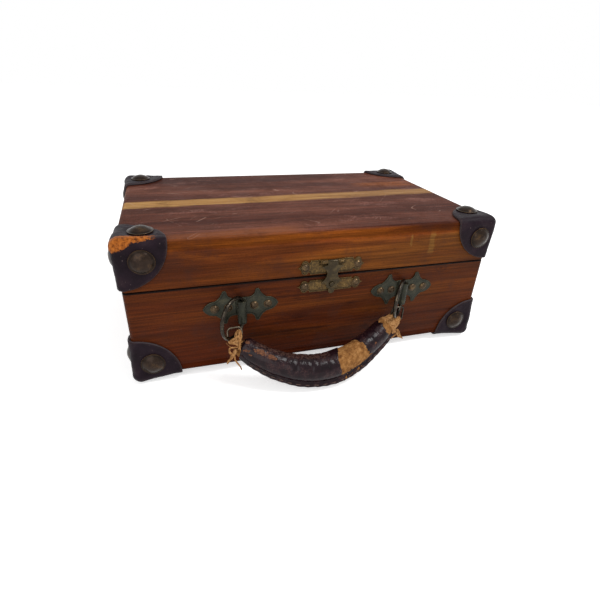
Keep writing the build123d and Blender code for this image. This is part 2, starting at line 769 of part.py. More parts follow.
# Butt hinges, let into the rims of the two back boards with their knuckles standing out behind
hinge_knuckle_length = (hinge_length - 2 * hinge_knuckle_gap) / 3
for side, centre in zip(("left", "right"), hinge_centres):
    start = centre - hinge_length / 2
    step = hinge_knuckle_length + hinge_knuckle_gap
    for half, rim, up, knuckle_starts in (
        ("lower", base_rim, 1, (start, start + 2 * step)),
        ("upper", lid_rim, -1, (start + step,)),
    ):
        with BuildPart() as hinge_leaf:
            with Locations((centre, back_face - hinge_leaf_depth / 2, rim - up * hinge_leaf_thickness / 2)):
                Box(hinge_length, hinge_leaf_depth, hinge_leaf_thickness)
            for knuckle_start in knuckle_starts:
                with BuildSketch(Plane.YZ.offset(knuckle_start)):
                    with Locations(((back_face + hinge_axis_y) / 2, rim - up * hinge_leaf_thickness / 2)):
                        Rectangle(hinge_axis_y - back_face, hinge_leaf_thickness)
                    with Locations((hinge_axis_y, seam_height)):
                        Circle(hinge_knuckle_radius)
                        Circle(hinge_pin_radius + hinge_pin_fit, mode=Mode.SUBTRACT)
                extrude(amount=hinge_knuckle_length)
            screws_here = [p for p in screw_planes(rim, up) if abs(p.origin.X - centre) < hinge_length / 2]
            with BuildSketch(*screws_here):
                Circle(screw_head_radius + socket_fit)
            extrude(amount=-hinge_leaf_thickness, mode=Mode.SUBTRACT, taper=screw_head_taper)
        save(hinge_leaf, f"{side}_hinge_{half}_leaf")
    with BuildPart() as hinge_pin:
        with BuildSketch(Plane.YZ.offset(start)):
            with Locations((hinge_axis_y, seam_height)):
                Circle(hinge_pin_radius)
        extrude(amount=hinge_length)
    save(hinge_pin, f"{side}_hinge_pin")

with BuildPart() as screw:
    with BuildSketch(Plane.XZ):
        with BuildLine():
            Polyline(
                (0, 0),
                (screw_head_radius, 0),
                (screw_shank_radius, -screw_head_height),
                (screw_shank_radius, -screw_length + screw_shank_radius),
                (0, -screw_length),
                close=True,
            )
        make_face()
    revolve(axis=Axis.Z)
save_copies(screw, screw_planes(base_rim, 1), "lower_hinge_screws")
save_copies(screw, screw_planes(lid_rim, -1), "upper_hinge_screws")
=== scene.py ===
import math

import bpy
from mathutils import Matrix, Vector, kdtree
from mathutils.noise import noise as noise_at


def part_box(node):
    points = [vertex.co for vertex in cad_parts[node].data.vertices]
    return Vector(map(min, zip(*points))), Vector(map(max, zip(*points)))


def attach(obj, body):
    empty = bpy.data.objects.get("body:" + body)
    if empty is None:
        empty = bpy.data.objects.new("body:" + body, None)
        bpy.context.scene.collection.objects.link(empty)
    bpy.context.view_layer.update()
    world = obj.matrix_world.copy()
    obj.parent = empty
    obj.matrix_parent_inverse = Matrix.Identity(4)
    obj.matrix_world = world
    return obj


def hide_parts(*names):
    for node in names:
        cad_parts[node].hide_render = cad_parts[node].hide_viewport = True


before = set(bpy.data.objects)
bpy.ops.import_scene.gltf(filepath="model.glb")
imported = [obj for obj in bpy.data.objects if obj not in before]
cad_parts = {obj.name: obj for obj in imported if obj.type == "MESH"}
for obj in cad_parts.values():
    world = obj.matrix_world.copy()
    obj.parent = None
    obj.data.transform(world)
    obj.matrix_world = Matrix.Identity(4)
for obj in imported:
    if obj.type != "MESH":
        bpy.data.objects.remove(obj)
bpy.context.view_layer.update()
bpy.ops.object.select_all(action="DESELECT")

# Camera, paper and lamps
# The chest stands on white paper under one soft lamp, high up to the right, with a wide pale
# screen in front of it. The camera stands close, to the left of the middle and above the lid.
camera_place = (-0.09366, -0.31262, 0.18586)
camera_turn = (61.008, -2.329, -16.963)
bpy.ops.object.camera_add(location=camera_place, rotation=[math.radians(turn) for turn in camera_turn])
camera = bpy.context.object
camera.data.sensor_width = 36.0
camera.data.lens = 24.774
camera.data.clip_start = 0.01
bpy.context.scene.camera = camera
bpy.context.scene.view_settings.view_transform = "Standard"


def shader(tree, kind, inputs=None, **settings):
    """Adds one node to a tree, and gives its inputs numbers, colours or other nodes' sockets."""
    node = tree.nodes.new(kind)
    for name, value in settings.items():
        setattr(node, name, value)
    for key, value in (inputs or {}).items():
        if isinstance(value, bpy.types.NodeSocket):
            tree.links.new(value, node.inputs[key])
        else:
            node.inputs[key].default_value = value
    return node


def tree_of(*values):
    """The node tree of the first socket among some values."""
    return next(value.id_data for value in values if isinstance(value, bpy.types.NodeSocket))


def reckon(operation, *values):
    """One Math node, and the socket that it puts out."""
    return shader(tree_of(*values), "ShaderNodeMath", dict(enumerate(values)), operation=operation).outputs[0]


def paper_rays(tree):
    """Is 1 for what the camera sees, or sees in a mirror or through glass."""
    light_path = shader(tree, "ShaderNodeLightPath")
    seen = reckon("MAXIMUM", light_path.outputs["Is Camera Ray"], light_path.outputs["Is Glossy Ray"])
    return reckon("MAXIMUM", seen, light_path.outputs["Is Transmission Ray"])


room_light = 0.55
world = bpy.data.worlds.new("paper_room")
bpy.context.scene.world = world
world.use_nodes = True
tree = world.node_tree
tree.nodes.clear()
strength = reckon("MULTIPLY_ADD", paper_rays(tree), 1 - room_light, room_light)
background = shader(tree, "ShaderNodeBackground", {"Color": (1, 1, 1, 1), "Strength": strength})
shader(tree, "ShaderNodeOutputWorld", {"Surface": background.outputs[0]})

floor_size = 8.0
paper_shine = 0.56
bpy.ops.mesh.primitive_grid_add(x_subdivisions=8, y_subdivisions=8, size=floor_size)
floor = bpy.context.object
floor.name = "paper_floor"
paper = bpy.data.materials.new("white_paper")
paper.use_nodes = True
tree = paper.node_tree
tree.nodes.clear()
paper_glow = reckon("MULTIPLY", paper_rays(tree), paper_shine)
diffuse = shader(tree, "ShaderNodeBsdfDiffuse", {"Color": (0.86, 0.86, 0.86, 1)})
glow = shader(tree, "ShaderNodeEmission", {"Color": (1, 1, 1, 1), "Strength": paper_glow})
both = shader(tree, "ShaderNodeAddShader", {0: diffuse.outputs[0], 1: glow.outputs[0]})
shader(tree, "ShaderNodeOutputMaterial", {"Surface": both.outputs[0]})
floor.data.materials.append(paper)


def lamp(name, direction, distance, size, energy):
    """A square soft lamp that looks at the middle of the chest from one direction."""
    aim = Vector((0, 0, 0.06))
    out = Vector(direction).normalized()
    bpy.ops.object.light_add(type="AREA", location=aim + out * distance)
    light = bpy.context.object
    light.name = name
    light.rotation_euler = out.to_track_quat("Z", "Y").to_euler()
    light.data.size = size
    light.data.energy = energy


lamp("high_lamp", (0.48, -0.31, 0.82), 1.3, 0.45, 9.0)
lamp("front_screen", (-0.55, -1.0, 0.55), 1.4, 1.1, 7.0)

# Cedar boards
# Ten boards of one red cedar log, glued up as a closed box, rounded over, varnished and sawn
# apart at the seam. The top has a pale sapwood stripe, and the varnish has gone dull with age.


def times(first, *others):
    """The product of several values."""
    for other in others:
        first = reckon("MULTIPLY", first, other)
    return first


def scaled(value, share, start):
    """A value times a share, on top of a start."""
    return reckon("MULTIPLY_ADD", value, share, start)


def less(value, taken):
    """The first value less the second."""
    return reckon("SUBTRACT", value, taken)


def off(value, middle):
    """How far a value lies from a middle, either way."""
    return reckon("ABSOLUTE", less(value, middle))


def fade(value, start, end):
    """Rises smoothly from 0 at start to 1 at end, or falls where end is less."""
    inputs = {"Value": value, "From Min": start, "From Max": end}
    return shader(value.id_data, "ShaderNodeMapRange", inputs, interpolation_type="SMOOTHSTEP").outputs[0]


def between(value, low, high, soft):
    """Is 1 between two values and fades to 0 over a soft width outside them."""
    return times(fade(value, low - soft, low), fade(value, high + soft, high))


def distance(*offsets):
    """How far a place lies from another, from the offsets along X, Y and Z."""
    tree = tree_of(*offsets)
    place = shader(tree, "ShaderNodeCombineXYZ", dict(enumerate(offsets))).outputs[0]
    return shader(tree, "ShaderNodeVectorMath", {0: place}, operation="LENGTH").outputs["Value"]


def chart(colour):
    """A paint chart's colour, from 0 to 255, as the light it sends back. Anything else stays."""
    if not isinstance(colour, (tuple, list)):
        return colour
    shares = [channel / 255 for channel in colour]
    return tuple(s / 12.92 if s < 0.04045 else ((s + 0.055) / 1.055) ** 2.4 for s in shares) + (1,)


def paint(mask, under, over, way="MIX"):
    """Lays one colour over another where the mask is 1."""
    inputs = {0: mask, 6: chart(under), 7: chart(over)}
    tree = tree_of(mask, under, over)
    return shader(tree, "ShaderNodeMix", inputs, data_type="RGBA", blend_type=way).outputs[2]


def tint(under, over, *masks):
    """Lays a colour over another where all of the masks are 1."""
    return paint(times(*masks), under, over)


def colours(value, *stops):
    """A colour ramp with a stop for each pair of place and colour."""
    node = shader(value.id_data, "ShaderNodeValToRGB", {0: value})
    elements = node.color_ramp.elements
    while len(elements) < len(stops):
        elements.new(0.5)
    for element, (place, colour) in zip(elements, stops):
        element.position = place
        element.color = chart(colour)
    return node.outputs[0]


def stretched(place, scale, shift=(0, 0, 0), turn=0.0):
    """A place scaled differently along X, Y and Z, then turned about Z and moved."""
    inputs = {"Vector": place, "Location": shift, "Rotation": (0, 0, turn), "Scale": scale}
    return shader(place.id_data, "ShaderNodeMapping", inputs).outputs[0]


def noise(place, scale, detail=4.0, roughness=0.55, distortion=0.0, shift=(0, 0, 0)):
    """A cloudy pattern, from 0 to 1 about 0.5, drawn out where the scale has three numbers."""
    if isinstance(scale, tuple):
        place = stretched(place, scale, shift)
        scale = 1.0
    inputs = {"Vector": place, "Scale": scale, "Detail": detail, "Roughness": roughness}
    inputs["Distortion"] = distortion
    return shader(place.id_data, "ShaderNodeTexNoise", inputs).outputs[0]


def new_group(name, inputs, outputs):
    """A node group, and the sockets that bring in its inputs and take its outputs."""
    group = bpy.data.node_groups.new(name, "ShaderNodeTree")
    for socket, (kind, value) in inputs.items():
        added = group.interface.new_socket(socket, in_out="INPUT", socket_type=kind)
        if value is not None:
            added.default_value = chart(value)
    for socket, kind in outputs.items():
        group.interface.new_socket(socket, in_out="OUTPUT", socket_type=kind)
    return group, group.nodes.new("NodeGroupInput").outputs, group.nodes.new("NodeGroupOutput").inputs


def placed(group, inputs):
    """The outputs of a node group in a material, with its inputs given."""
    inputs = {key: chart(value) for key, value in inputs.items()}
    return shader(tree_of(*inputs.values()), "ShaderNodeGroup", inputs, node_tree=group).outputs


def new_material(name, roughness, gloss, metallic=0.0):
    """A material with one shader, and its tree, shader and the place on the piece."""
    material = bpy.data.materials.new(name)
    material.use_nodes = True
    tree = material.node_tree
    tree.nodes.clear()
    inputs = {"Roughness": roughness, "Specular IOR Level": gloss, "Metallic": metallic}
    principled = shader(tree, "ShaderNodeBsdfPrincipled", inputs)
    shader(tree, "ShaderNodeOutputMaterial", {"Surface": principled.outputs[0]})
    place = shader(tree, "ShaderNodeTexCoord").outputs["Object"]
    return material, tree, principled, place


def feed(principled, **sockets):
    """Links sockets to the shader's inputs by name."""
    for name, socket in sockets.items():
        principled.id_data.links.new(socket, principled.inputs[name.replace("_", " ")])


def raise_up(principled, height, distance, strength=1.0):
    """Feeds a height through one bump node to the shader."""
    inputs = {"Height": height, "Distance": distance, "Strength": strength}
    feed(principled, Normal=shader(height.id_data, "ShaderNodeBump", inputs).outputs[0])


number_kind = "NodeSocketFloat"
# the grain of one board: broad colour bands, growth lines, streaks, fibres and pores, drawn out
# along X of the place that it is given
grain, given, made = new_group(
    "cedar_grain",
    {"Place": ("NodeSocketVector", None), "Band Width": (number_kind, 0.012)},
    dict.fromkeys(("Band", "Line", "Streak", "Fibre", "Pore"), number_kind),
)
place = given["Place"]
along_grain = stretched(place, (0.11, 1.0, 1.0))
band = noise(along_grain, reckon("DIVIDE", 0.5, given["Band Width"]), 3.0, 0.5, 0.4)
wander = noise(place, (9, 26, 26), 3.0)
line_noise = noise(place, (7, 330, 330), 5.0, 0.6, 0.3)
line = fade(scaled(wander, 0.9, line_noise), 0.72, 1.18)
streak = noise(place, (13, 620, 620), 7.0, 0.72, 0.25)
fibre = noise(place, (34, 1900, 1900), 3.0, 0.65)
pore = noise(place, (110, 2300, 2300), 1.0, 0.5)
parts = {"Band": band, "Line": line, "Streak": streak, "Fibre": fibre, "Pore": fade(pore, 0.66, 0.76)}
for name, part in parts.items():
    grain.links.new(part, made[name])

# wear at edges: how far the surface turns within a small distance, broken up by noise
edge_wear, given, made = new_group(
    "edge_wear",
    {"Place": ("NodeSocketVector", None), "Reach": (number_kind, 0.001), "Patch Size": (number_kind, 0.004)},
    {"Worn": number_kind},
)
rounded = shader(edge_wear, "ShaderNodeBevel", {"Radius": given["Reach"]}, samples=4).outputs[0]
straight = shader(edge_wear, "ShaderNodeNewGeometry").outputs["Normal"]
turn = shader(edge_wear, "ShaderNodeVectorMath", {0: rounded, 1: straight}, operation="DOT_PRODUCT")
patches = noise(given["Place"], reckon("DIVIDE", 1.0, given["Patch Size"]), 5.0, 0.65)
edge = fade(turn.outputs["Value"], 0.995, 0.90)
edge_wear.links.new(times(edge, fade(patches, 0.36, 0.58)), made["Worn"])

case_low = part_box("base_bottom_panel")[0]
case_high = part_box("lid_top_panel")[1]
front_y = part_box("base_front_board")[0].y
seam_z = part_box("base_front_board")[1].z
foot_z = case_low.z
top_z = case_high.z
varnish_ends, bare_begins = 0.0032, 0.0042
# the marks of the front and the top, as the stretches of X that they cover, and the stripe's of Y
smoke_and_shadow_span = (-0.060, 0.050)
wedge_span = (-0.090, -0.030)
bare_span = (0.083, 0.110)
broad_smear_span = (0.0770, 0.0800)
thin_smear_span = (0.0612, 0.0622)
stripe_span = (-0.0068, 0.0052)
knot_x, knot_z, knot_length, knot_height = 0.0907, 0.0639, 0.0084, 0.0052


def cedar(name, grain_turn, gloss):
    """Varnished red cedar. The grain runs along X and is then turned about Z."""
    material, tree, principled, place = new_material(name, 0.5, gloss)
    turned = stretched(place, (1, 1, 1), turn=grain_turn)
    wood = placed(grain, {"Place": turned, "Band Width": 0.013})
    x, y, z = shader(tree, "ShaderNodeSeparateXYZ", {0: place}).outputs
    normal = shader(tree, "ShaderNodeTexCoord").outputs["Normal"]
    facing_up = shader(tree, "ShaderNodeSeparateXYZ", {0: normal}).outputs[2]
    top = times(fade(facing_up, 0.55, 0.95), fade(z, top_z - 0.004, top_z - 0.001))
    deep_x = less(case_high.x, off(x, 0))
    deep_y = less(case_high.y, off(y, 0))
    deep_z = reckon("MINIMUM", less(top_z, z), less(z, foot_z))
    depth = reckon("MINIMUM", reckon("MINIMUM", deep_x, deep_y), deep_z)
    upright = fade(off(facing_up, 0), 0.70, 0.50)
    steep = fade(off(facing_up, 0), 0.97, 0.90)
    at_rim = times(fade(off(z, seam_z), 0.0003, 0.0001), less(1.0, upright))
    inside = reckon("MAXIMUM", fade(depth, varnish_ends, bare_begins), at_rim)
    grime_fine = noise(place, 190.0, 5.0, 0.7)
    front_wood = colours(
        wood["Band"], (0.30, (62, 26, 8)), (0.43, (92, 44, 14)), (0.56, (118, 62, 19)), (0.70, (140, 84, 30))
    )
    base_half = fade(z, seam_z + 0.0005, seam_z - 0.0005)
    redder = scaled(fade(z, seam_z, foot_z - 0.004), 0.55, 0.45)
    front_wood = tint(front_wood, (70, 25, 7), base_half, redder)
    front_wood = tint(front_wood, (66, 30, 8), fade(x, 0.02, 0.11), 0.38)
    # a dark cloud on the base's front, partly smoky grain and partly a painted shadow of the handle, and an
    # orange flame in the grain of the lid's
    smoke_and_handle_shadow = noise(place, (16, 70, 110), 6.0, 0.7, 0.9, shift=(0.7, 0, 0))
    smoke_and_handle_shadow = times(fade(smoke_and_handle_shadow, 0.50, 0.62), base_half, between(x, *smoke_and_shadow_span, 0.030))
    front_wood = tint(front_wood, (36, 13, 6), smoke_and_handle_shadow, 0.62)
    near_seam = between(z, seam_z + 0.001, seam_z + 0.008, 0.010)
    front_wood = tint(front_wood, (60, 24, 8), near_seam, 0.24)
    flame = noise(place, (10, 60, 60), 4.0, 0.6, 0.6, shift=(0.3, 0, 0))
    flame = times(fade(flame, 0.50, 0.66), fade(z, seam_z + 0.004, seam_z + 0.020))
    front_wood = tint(front_wood, (156, 84, 26), flame, 0.40)
    # a knot on the right of the lid's front, and two yellow smears above it
    across_knot = reckon("DIVIDE", less(x, knot_x), knot_length / 2)
    up_knot = reckon("DIVIDE", less(z, knot_z), knot_height / 2)
    knot_reach = distance(across_knot, 0, up_knot)
    knot_reach = scaled(wood["Streak"], 0.8, less(knot_reach, 0.4))
    knot_ring = times(between(knot_reach, 0.85, 1.10, 0.30), 0.55)
    knot = reckon("MAXIMUM", fade(knot_reach, 0.55, 0.15), knot_ring)
    at_front = fade(y, front_y + 0.006, front_y + 0.004)
    front_wood = tint(front_wood, (46, 20, 10), knot, at_front, 0.65)
    smear_edge = scaled(grime_fine, 0.006, less(x, 0.003))
    broad = times(between(smear_edge, *broad_smear_span, 0.0012), between(z, 0.079, 0.090, 0.004))
    thin = times(between(smear_edge, *thin_smear_span, 0.0007), between(z, 0.085, 0.090, 0.003))
    front_wood = tint(front_wood, (150, 108, 50), reckon("MAXIMUM", broad, thin), at_front, 0.5)
    top_wood = colours(wood["Band"], (0.32, (68, 34, 26)), (0.48, (90, 50, 38)), (0.62, (112, 67, 52)))
    colour = paint(top, front_wood, top_wood)
    colour = tint(colour, (44, 18, 12), wood["Line"], 0.50)
    shade = {"Value": wood["Streak"], "From Min": 0.34, "From Max": 0.66, "To Min": 0.56, "To Max": 1.34}
    streak_shade = shader(tree, "ShaderNodeMapRange", shade).outputs[0]
    colour = paint(1.0, colour, streak_shade, "MULTIPLY")
    colour = paint(1.0, colour, scaled(wood["Fibre"], 1.3, 0.35), "MULTIPLY")
    dots = noise(turned, (1100, 1900, 1900), 2.0, 0.6)
    colour = paint(1.0, colour, scaled(dots, 1.0, 0.5), "MULTIPLY")
    # the sapwood stripe on the top, which wanders a little and has fine brown lines of its own
    stripe_centre = scaled(x, 0.028, -0.001)
    stripe_wander = scaled(noise(place, (18, 3, 3)), 0.006, -0.003)
    from_stripe = less(less(y, stripe_centre), stripe_wander)
    stripe_frays = scaled(wood["Streak"], 0.014, -0.007)
    stripe = between(reckon("ADD", from_stripe, stripe_frays), *stripe_span, 0.0032)
    pale = ((0.34, (122, 82, 42)), (0.50, (166, 122, 68)), (0.66, (200, 158, 96)))
    stripe_colour = colours(wood["Streak"], *pale)
    stripe_colour = tint(stripe_colour, (112, 80, 62), fade(x, -0.02, 0.08), 0.42)
    colour = tint(colour, stripe_colour, stripe, top, 0.90)
    # an orange-brown wedge of bare wood along the front edge of the top, towards the left
    wedge_low = scaled(less(x, -0.095), 0.05, front_y + 0.003)
    wedge_edge = scaled(wood["Streak"], 0.012, less(y, 0.006))
    wedge = times(fade(less(wedge_edge, wedge_low), 0.010, 0.002), between(x, *wedge_span, 0.022))
    colour = tint(colour, (132, 74, 36), wedge, top, 0.55)
    # an orange streak where the varnish has rubbed through at the back right of the top
    bare = times(between(x, *bare_span, 0.026), between(y, 0.028, 0.032, 0.010))
    colour = tint(colour, (160, 92, 46), bare, top, fade(wood["Streak"], 0.36, 0.58), 0.75)
    # the long top front edge, rubbed to an orange line in the middle and dull elsewhere
    long_place = stretched(place, (0.35, 1, 1))
    wear = placed(edge_wear, {"Place": long_place, "Reach": 0.003, "Patch Size": 0.012})
    middle_most = scaled(fade(x, -0.04, 0.0), 0.7, 0.3)
    ends_less = scaled(fade(deep_x, 0.002, 0.008), 0.75, 0.25)
    upper = fade(z, top_z - 0.012, top_z - 0.002)
    colour = tint(colour, (168, 84, 40), wear[0], upper, middle_most, ends_less)
    colour = tint(colour, (30, 13, 9), wood["Pore"], 0.5)
    grime = noise(place, 42.0, 6.0, 0.7)
    colour = tint(colour, (58, 34, 28), fade(grime, 0.48, 0.70), 0.42)
    # fine pale scratches and dust on the top, and a painted shade line along the two rims at the seam,
    # standing for the shade in its gap
    scratch = fade(noise(turned, (90, 1300, 1300), 3.0, 0.7), 0.62, 0.74)
    colour = tint(colour, (150, 112, 104), scratch, top, fade(grime, 0.42, 0.56), 0.55)
    scuffs = fade(noise(place, (26, 60, 60), 4.0, 0.66, shift=(3, 1, 0)), 0.54, 0.70)
    colour = tint(colour, (160, 112, 100), scuffs, top, fade(dots, 0.42, 0.60), 0.50)
    for turned_by, shift in ((0.9, 0.0), (-0.5, 5.0), (2.2, 9.0)):
        across = stretched(place, (1, 1, 1), turn=turned_by)
        hair = noise(across, (5, 46, 46), 2.0, 0.4, 0.3, shift=(shift, 0, 0))
        hair = fade(off(hair, 0.47), 0.0030, 0.0012)
        broken = noise(place, (60, 60, 60), 2.0, shift=(shift, 2, 0))
        colour = tint(colour, (176, 140, 124), hair, top, fade(broken, 0.54, 0.64), 0.42)
    # painted shade: a dark line on the wood beside the seam, for the shade in the gap between lid and base
    seam_gap_shade = times(fade(off(z, seam_z), 0.0010, 0.0006), steep)
    colour = tint(colour, (18, 10, 8), seam_gap_shade)
    # the bare wood inside and on the rims, never varnished, and painted dark near the outer arris as the
    # shade in the seam's gap
    raw_wood = colours(wood["Band"], (0.30, (112, 62, 38)), (0.48, (142, 86, 54)), (0.66, (166, 110, 72)))
    raw_wood = paint(1.0, raw_wood, streak_shade, "MULTIPLY")
    raw_wood = tint(raw_wood, (92, 44, 26), wood["Line"], 0.35)
    # painted shade on the rims near the outside, where the seam's gap is dark
    raw_wood = tint(raw_wood, (22, 11, 8), fade(depth, 0.0030, 0.0010))
    colour = tint(colour, raw_wood, inside)
    feed(principled, Base_Color=colour)
    feed(principled, Roughness=scaled(inside, 0.3, scaled(grime, 0.35, 0.28)))
    height = scaled(wood["Fibre"], 0.35, times(wood["Pore"], -1.0))
    raise_up(principled, scaled(wood["Streak"], 0.5, height), 0.00016, 0.8)
    return material


def dress(material, *nodes):
    """Gives a material to CAD nodes, whose shapes stay as they are."""
    for node in nodes:
        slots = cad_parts[node].data.materials
        slots.clear()
        slots.append(material)


long_cedar = cedar("cedar_along_the_case", 0.0, 0.06)
side_cedar = cedar("cedar_across_the_ends", math.pi / 2, 0.06)
dull_cedar = cedar("dull_cedar_of_the_top", 0.0, 0.015)
for half in ("base", "lid"):
    dress(long_cedar, f"{half}_front_board", f"{half}_back_board")
    dress(side_cedar, f"{half}_left_side_board", f"{half}_right_side_board")
dress(dull_cedar, "base_bottom_panel", "lid_top_panel")

# Leather corners
# Eight caps of thick leather, wet-formed over the corners of the case, stained nearly black and
# nailed on with three nails each. The cut edges stand proud, and the stain has rubbed off in places.


def select_only(*pieces):
    """Leaves only these pieces selected, and the first of them active."""
    bpy.ops.object.select_all(action="DESELECT")
    for piece in pieces:
        piece.select_set(True)
    bpy.context.view_layer.objects.active = pieces[0]


def open_mesh(piece):
    """Opens a piece for editing, with all of its mesh selected."""
    select_only(piece)
    bpy.ops.object.mode_set(mode="EDIT")
    bpy.ops.mesh.select_all(action="SELECT")


def close_mesh():
    """Ends the editing of a mesh."""
    bpy.ops.object.mode_set(mode="OBJECT")


def finish_with(piece, kind, **settings):
    """Puts one modifier on a piece and applies it."""
    select_only(piece)
    modifier = piece.modifiers.new(kind, kind)
    for name, value in settings.items():
        setattr(modifier, name, value)
    bpy.ops.object.modifier_apply(modifier=modifier.name)


def rebuilt(piece, face_size, soft_passes):
    """Builds a piece again in small even faces and softens it."""
    finish_with(piece, "REMESH", mode="VOXEL", voxel_size=face_size)
    finish_with(piece, "SMOOTH", factor=0.5, iterations=soft_passes)
    return piece


def break_edges(piece, width, angle):
    """Rounds the edges of a piece that are sharper than an angle."""
    finish_with(piece, "BEVEL", width=width, segments=2, limit_method="ANGLE", angle_limit=angle)


def new_piece(name, shape):
    """Puts a mesh or a curve in the scene as a piece of its own."""
    piece = bpy.data.objects.new(name, shape)
    bpy.context.collection.objects.link(piece)
    return piece


def as_one(pieces, name):
    """Joins pieces in one."""
    select_only(*pieces)
    bpy.ops.object.join()
    whole = bpy.context.object
    whole.name = name
    return whole


def joined_copy(node, name):
    """A copy of a CAD node's shape with its triangles joined up, to be worked into a finer piece."""
    piece = new_piece(name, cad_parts[node].data.copy())
    piece.data.materials.clear()
    select_only(piece)
    bpy.ops.mesh.customdata_custom_splitnormals_clear()
    open_mesh(piece)
    bpy.ops.mesh.remove_doubles(threshold=1e-6)
    bpy.ops.mesh.normals_make_consistent(inside=False)
    close_mesh()
    return piece


def reshape(piece, places):
    """Moves each point of a piece to its new place."""
    for vertex, place in zip(piece.data.vertices, places):
        vertex.co = place


def roughen(piece, *scales_and_depths):
    """Moves each point in or out by noise of one or more scales."""
    for vertex in piece.data.vertices:
        heights = [depth * noise_at(vertex.co * scale) for scale, depth in scales_and_depths]
        vertex.co += vertex.normal * sum(heights)


def mark(piece, name, values):
    """Keeps a number for each point of a piece, which its material reads."""
    piece.data.attributes.new(name, "FLOAT", "POINT").data.foreach_set("value", values)


def marked(tree, name):
    """The number that a piece keeps for each point under a name, or 0."""
    return shader(tree, "ShaderNodeAttribute", attribute_name=name).outputs["Fac"]


def share_of(value, start, end):
    """How far a value has come from start to end, from 0 to 1."""
    return min(max((value - start) / (end - start), 0), 1)


def rise(value, start, end):
    """A smooth step from 0 at start to 1 at end, or down where end is less."""
    share = share_of(value, start, end)
    return share * share * (3 - 2 * share)


def hand_over(piece, body, slot, material, *nodes):
    """Gives a finished piece its material and its body, and hides the CAD nodes that it stands for. The slot
    is not used.
    """
    piece.data.materials.clear()
    piece.data.materials.append(material)
    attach(piece, body)
    if nodes:
        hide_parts(*nodes)


def solids_of(node):
    """The middle and the size of each separate solid of a CAD node."""
    open_mesh(joined_copy(node, "solids"))
    bpy.ops.mesh.separate(type="LOOSE")
    close_mesh()
    solids = []
    for solid in list(bpy.context.selected_objects):
        corners = [[v.co[axis] for v in solid.data.vertices] for axis in range(3)]
        low = Vector([min(values) for values in corners])
        high = Vector([max(values) for values in corners])
        solids.append(((low + high) / 2, high - low))
        bpy.data.objects.remove(solid)
    return solids


case_middle = (case_low + case_high) / 2
wood_round = Vector((0.003, 0.003, 0.003))
nail_radius = 0.0075
nail_height = 0.0032


def nail_places(node, head_height):
    """The middle of the underside of each nail's head, and the way the nail points."""
    places = []
    for middle, size in solids_of(node):
        unlike = [min(abs(size[a] - size[a - 1]), abs(size[a] - size[a - 2])) for a in range(3)]
        odd = unlike.index(max(unlike))
        out = Vector((0, 0, 0))
        out[odd] = 1 if middle[odd] > case_middle[odd] else -1
        places.append((middle + out * (size[odd] / 2 - head_height), out))
    return places


def out_of_case(place):
    """The way straight out of the rounded case at a place near its surface."""
    low = case_low + wood_round
    high = case_high - wood_round
    inside = Vector([min(max(place[axis], low[axis]), high[axis]) for axis in range(3)])
    return (place - inside).normalized()


corner_nail_nodes = ("base_corner_nails", "foot_nails", "lid_corner_nails")
all_nail_places = {node: nail_places(node, nail_height) for node in corner_nail_nodes}
every_nail = [place for node in corner_nail_nodes for place in all_nail_places[node]]
nail_reach = 0.0074
dimple_depth = 0.00030
puff_height = 0.0009
foot_puff = 0.0018


def press_leather(piece):
    """Presses the leather in under the nails, lets it stand off the corner, and leaves it uneven."""
    near = [nail for nail in every_nail if (nail[0] - piece.data.vertices[0].co).length < 0.06]
    middle = sum((vertex.co for vertex in piece.data.vertices), Vector()) / len(piece.data.vertices)
    ends = [(case_low[axis], case_high[axis]) for axis in range(3)]
    tip = Vector([ends[axis][middle[axis] > case_middle[axis]] for axis in range(3)])
    moves = []
    for vertex in piece.data.vertices:
        out = out_of_case(vertex.co)
        outer = share_of(vertex.normal.dot(out), 0.2, 0.7)
        clear = 1.0
        dimple = 0.0
        for under, way in near:
            if way.dot(out) > 0.3:
                offset = vertex.co - under
                beside = (offset - way * offset.dot(way)).length
                clear = min(clear, share_of(beside, nail_reach, nail_reach + 0.0045))
                dimple -= dimple_depth * math.exp(-(((beside - 0.0080) / 0.0016) ** 2))
        from_tip = (vertex.co - tip).length
        puff = puff_height * clear * math.exp(-((from_tip / 0.0190) ** 4))
        if tip.z < case_middle.z and out.z < 0:
            puff += foot_puff * -out.z * clear * math.exp(-((from_tip / 0.0085) ** 2))
        uneven = clear * (0.00034 * noise_at(vertex.co * 120) + 0.00012 * noise_at(vertex.co * 480))
        moves.append(vertex.co + out * outer * (puff + dimple + uneven))
    reshape(piece, moves)


def cells(place, scale, feature):
    """The distance in a pattern of small cells, from their middles or from their edges."""
    node = shader(place.id_data, "ShaderNodeTexVoronoi", {"Vector": place, "Scale": scale}, feature=feature)
    return node.outputs["Distance"]


def skin_surface(place, size):
    """The height of leather's fine pebbled grain, from small cells and soft noise."""
    pebble = scaled(cells(place, 1 / size, "SMOOTH_F1"), -0.8, 0.8)
    return scaled(noise(place, 0.6 / size, 3.0), 0.5, pebble)


corner_reach = 0.0290
corner_leather, tree, principled, place = new_material("black_corner_leather", 0.42, 0.06)
x, y, z = shader(tree, "ShaderNodeSeparateXYZ", {0: place}).outputs
to_face_x = less(off(x, 0), case_high.x)
to_face_y = less(off(y, 0), case_high.y)
to_face_z = reckon("MINIMUM", off(z, top_z), off(z, foot_z))
reach = distance(to_face_x, to_face_y, to_face_z)
# the cut edges are painted paler: partly their own grey colour and partly a painted highlight along the ridge
cut_edge_and_highlight = fade(reach, corner_reach - 0.0006, corner_reach)
mottle = noise(place, 90.0, 5.0, 0.6)
colour = colours(mottle, (0.30, (20, 13, 18)), (0.55, (31, 21, 28)), (0.75, (44, 32, 37)))
colour = tint(colour, (78, 72, 76), cut_edge_and_highlight, 0.55)
wear = placed(edge_wear, {"Place": place, "Reach": 0.0022, "Patch Size": 0.0035})
colour = tint(colour, (84, 66, 58), wear[0], 0.40)
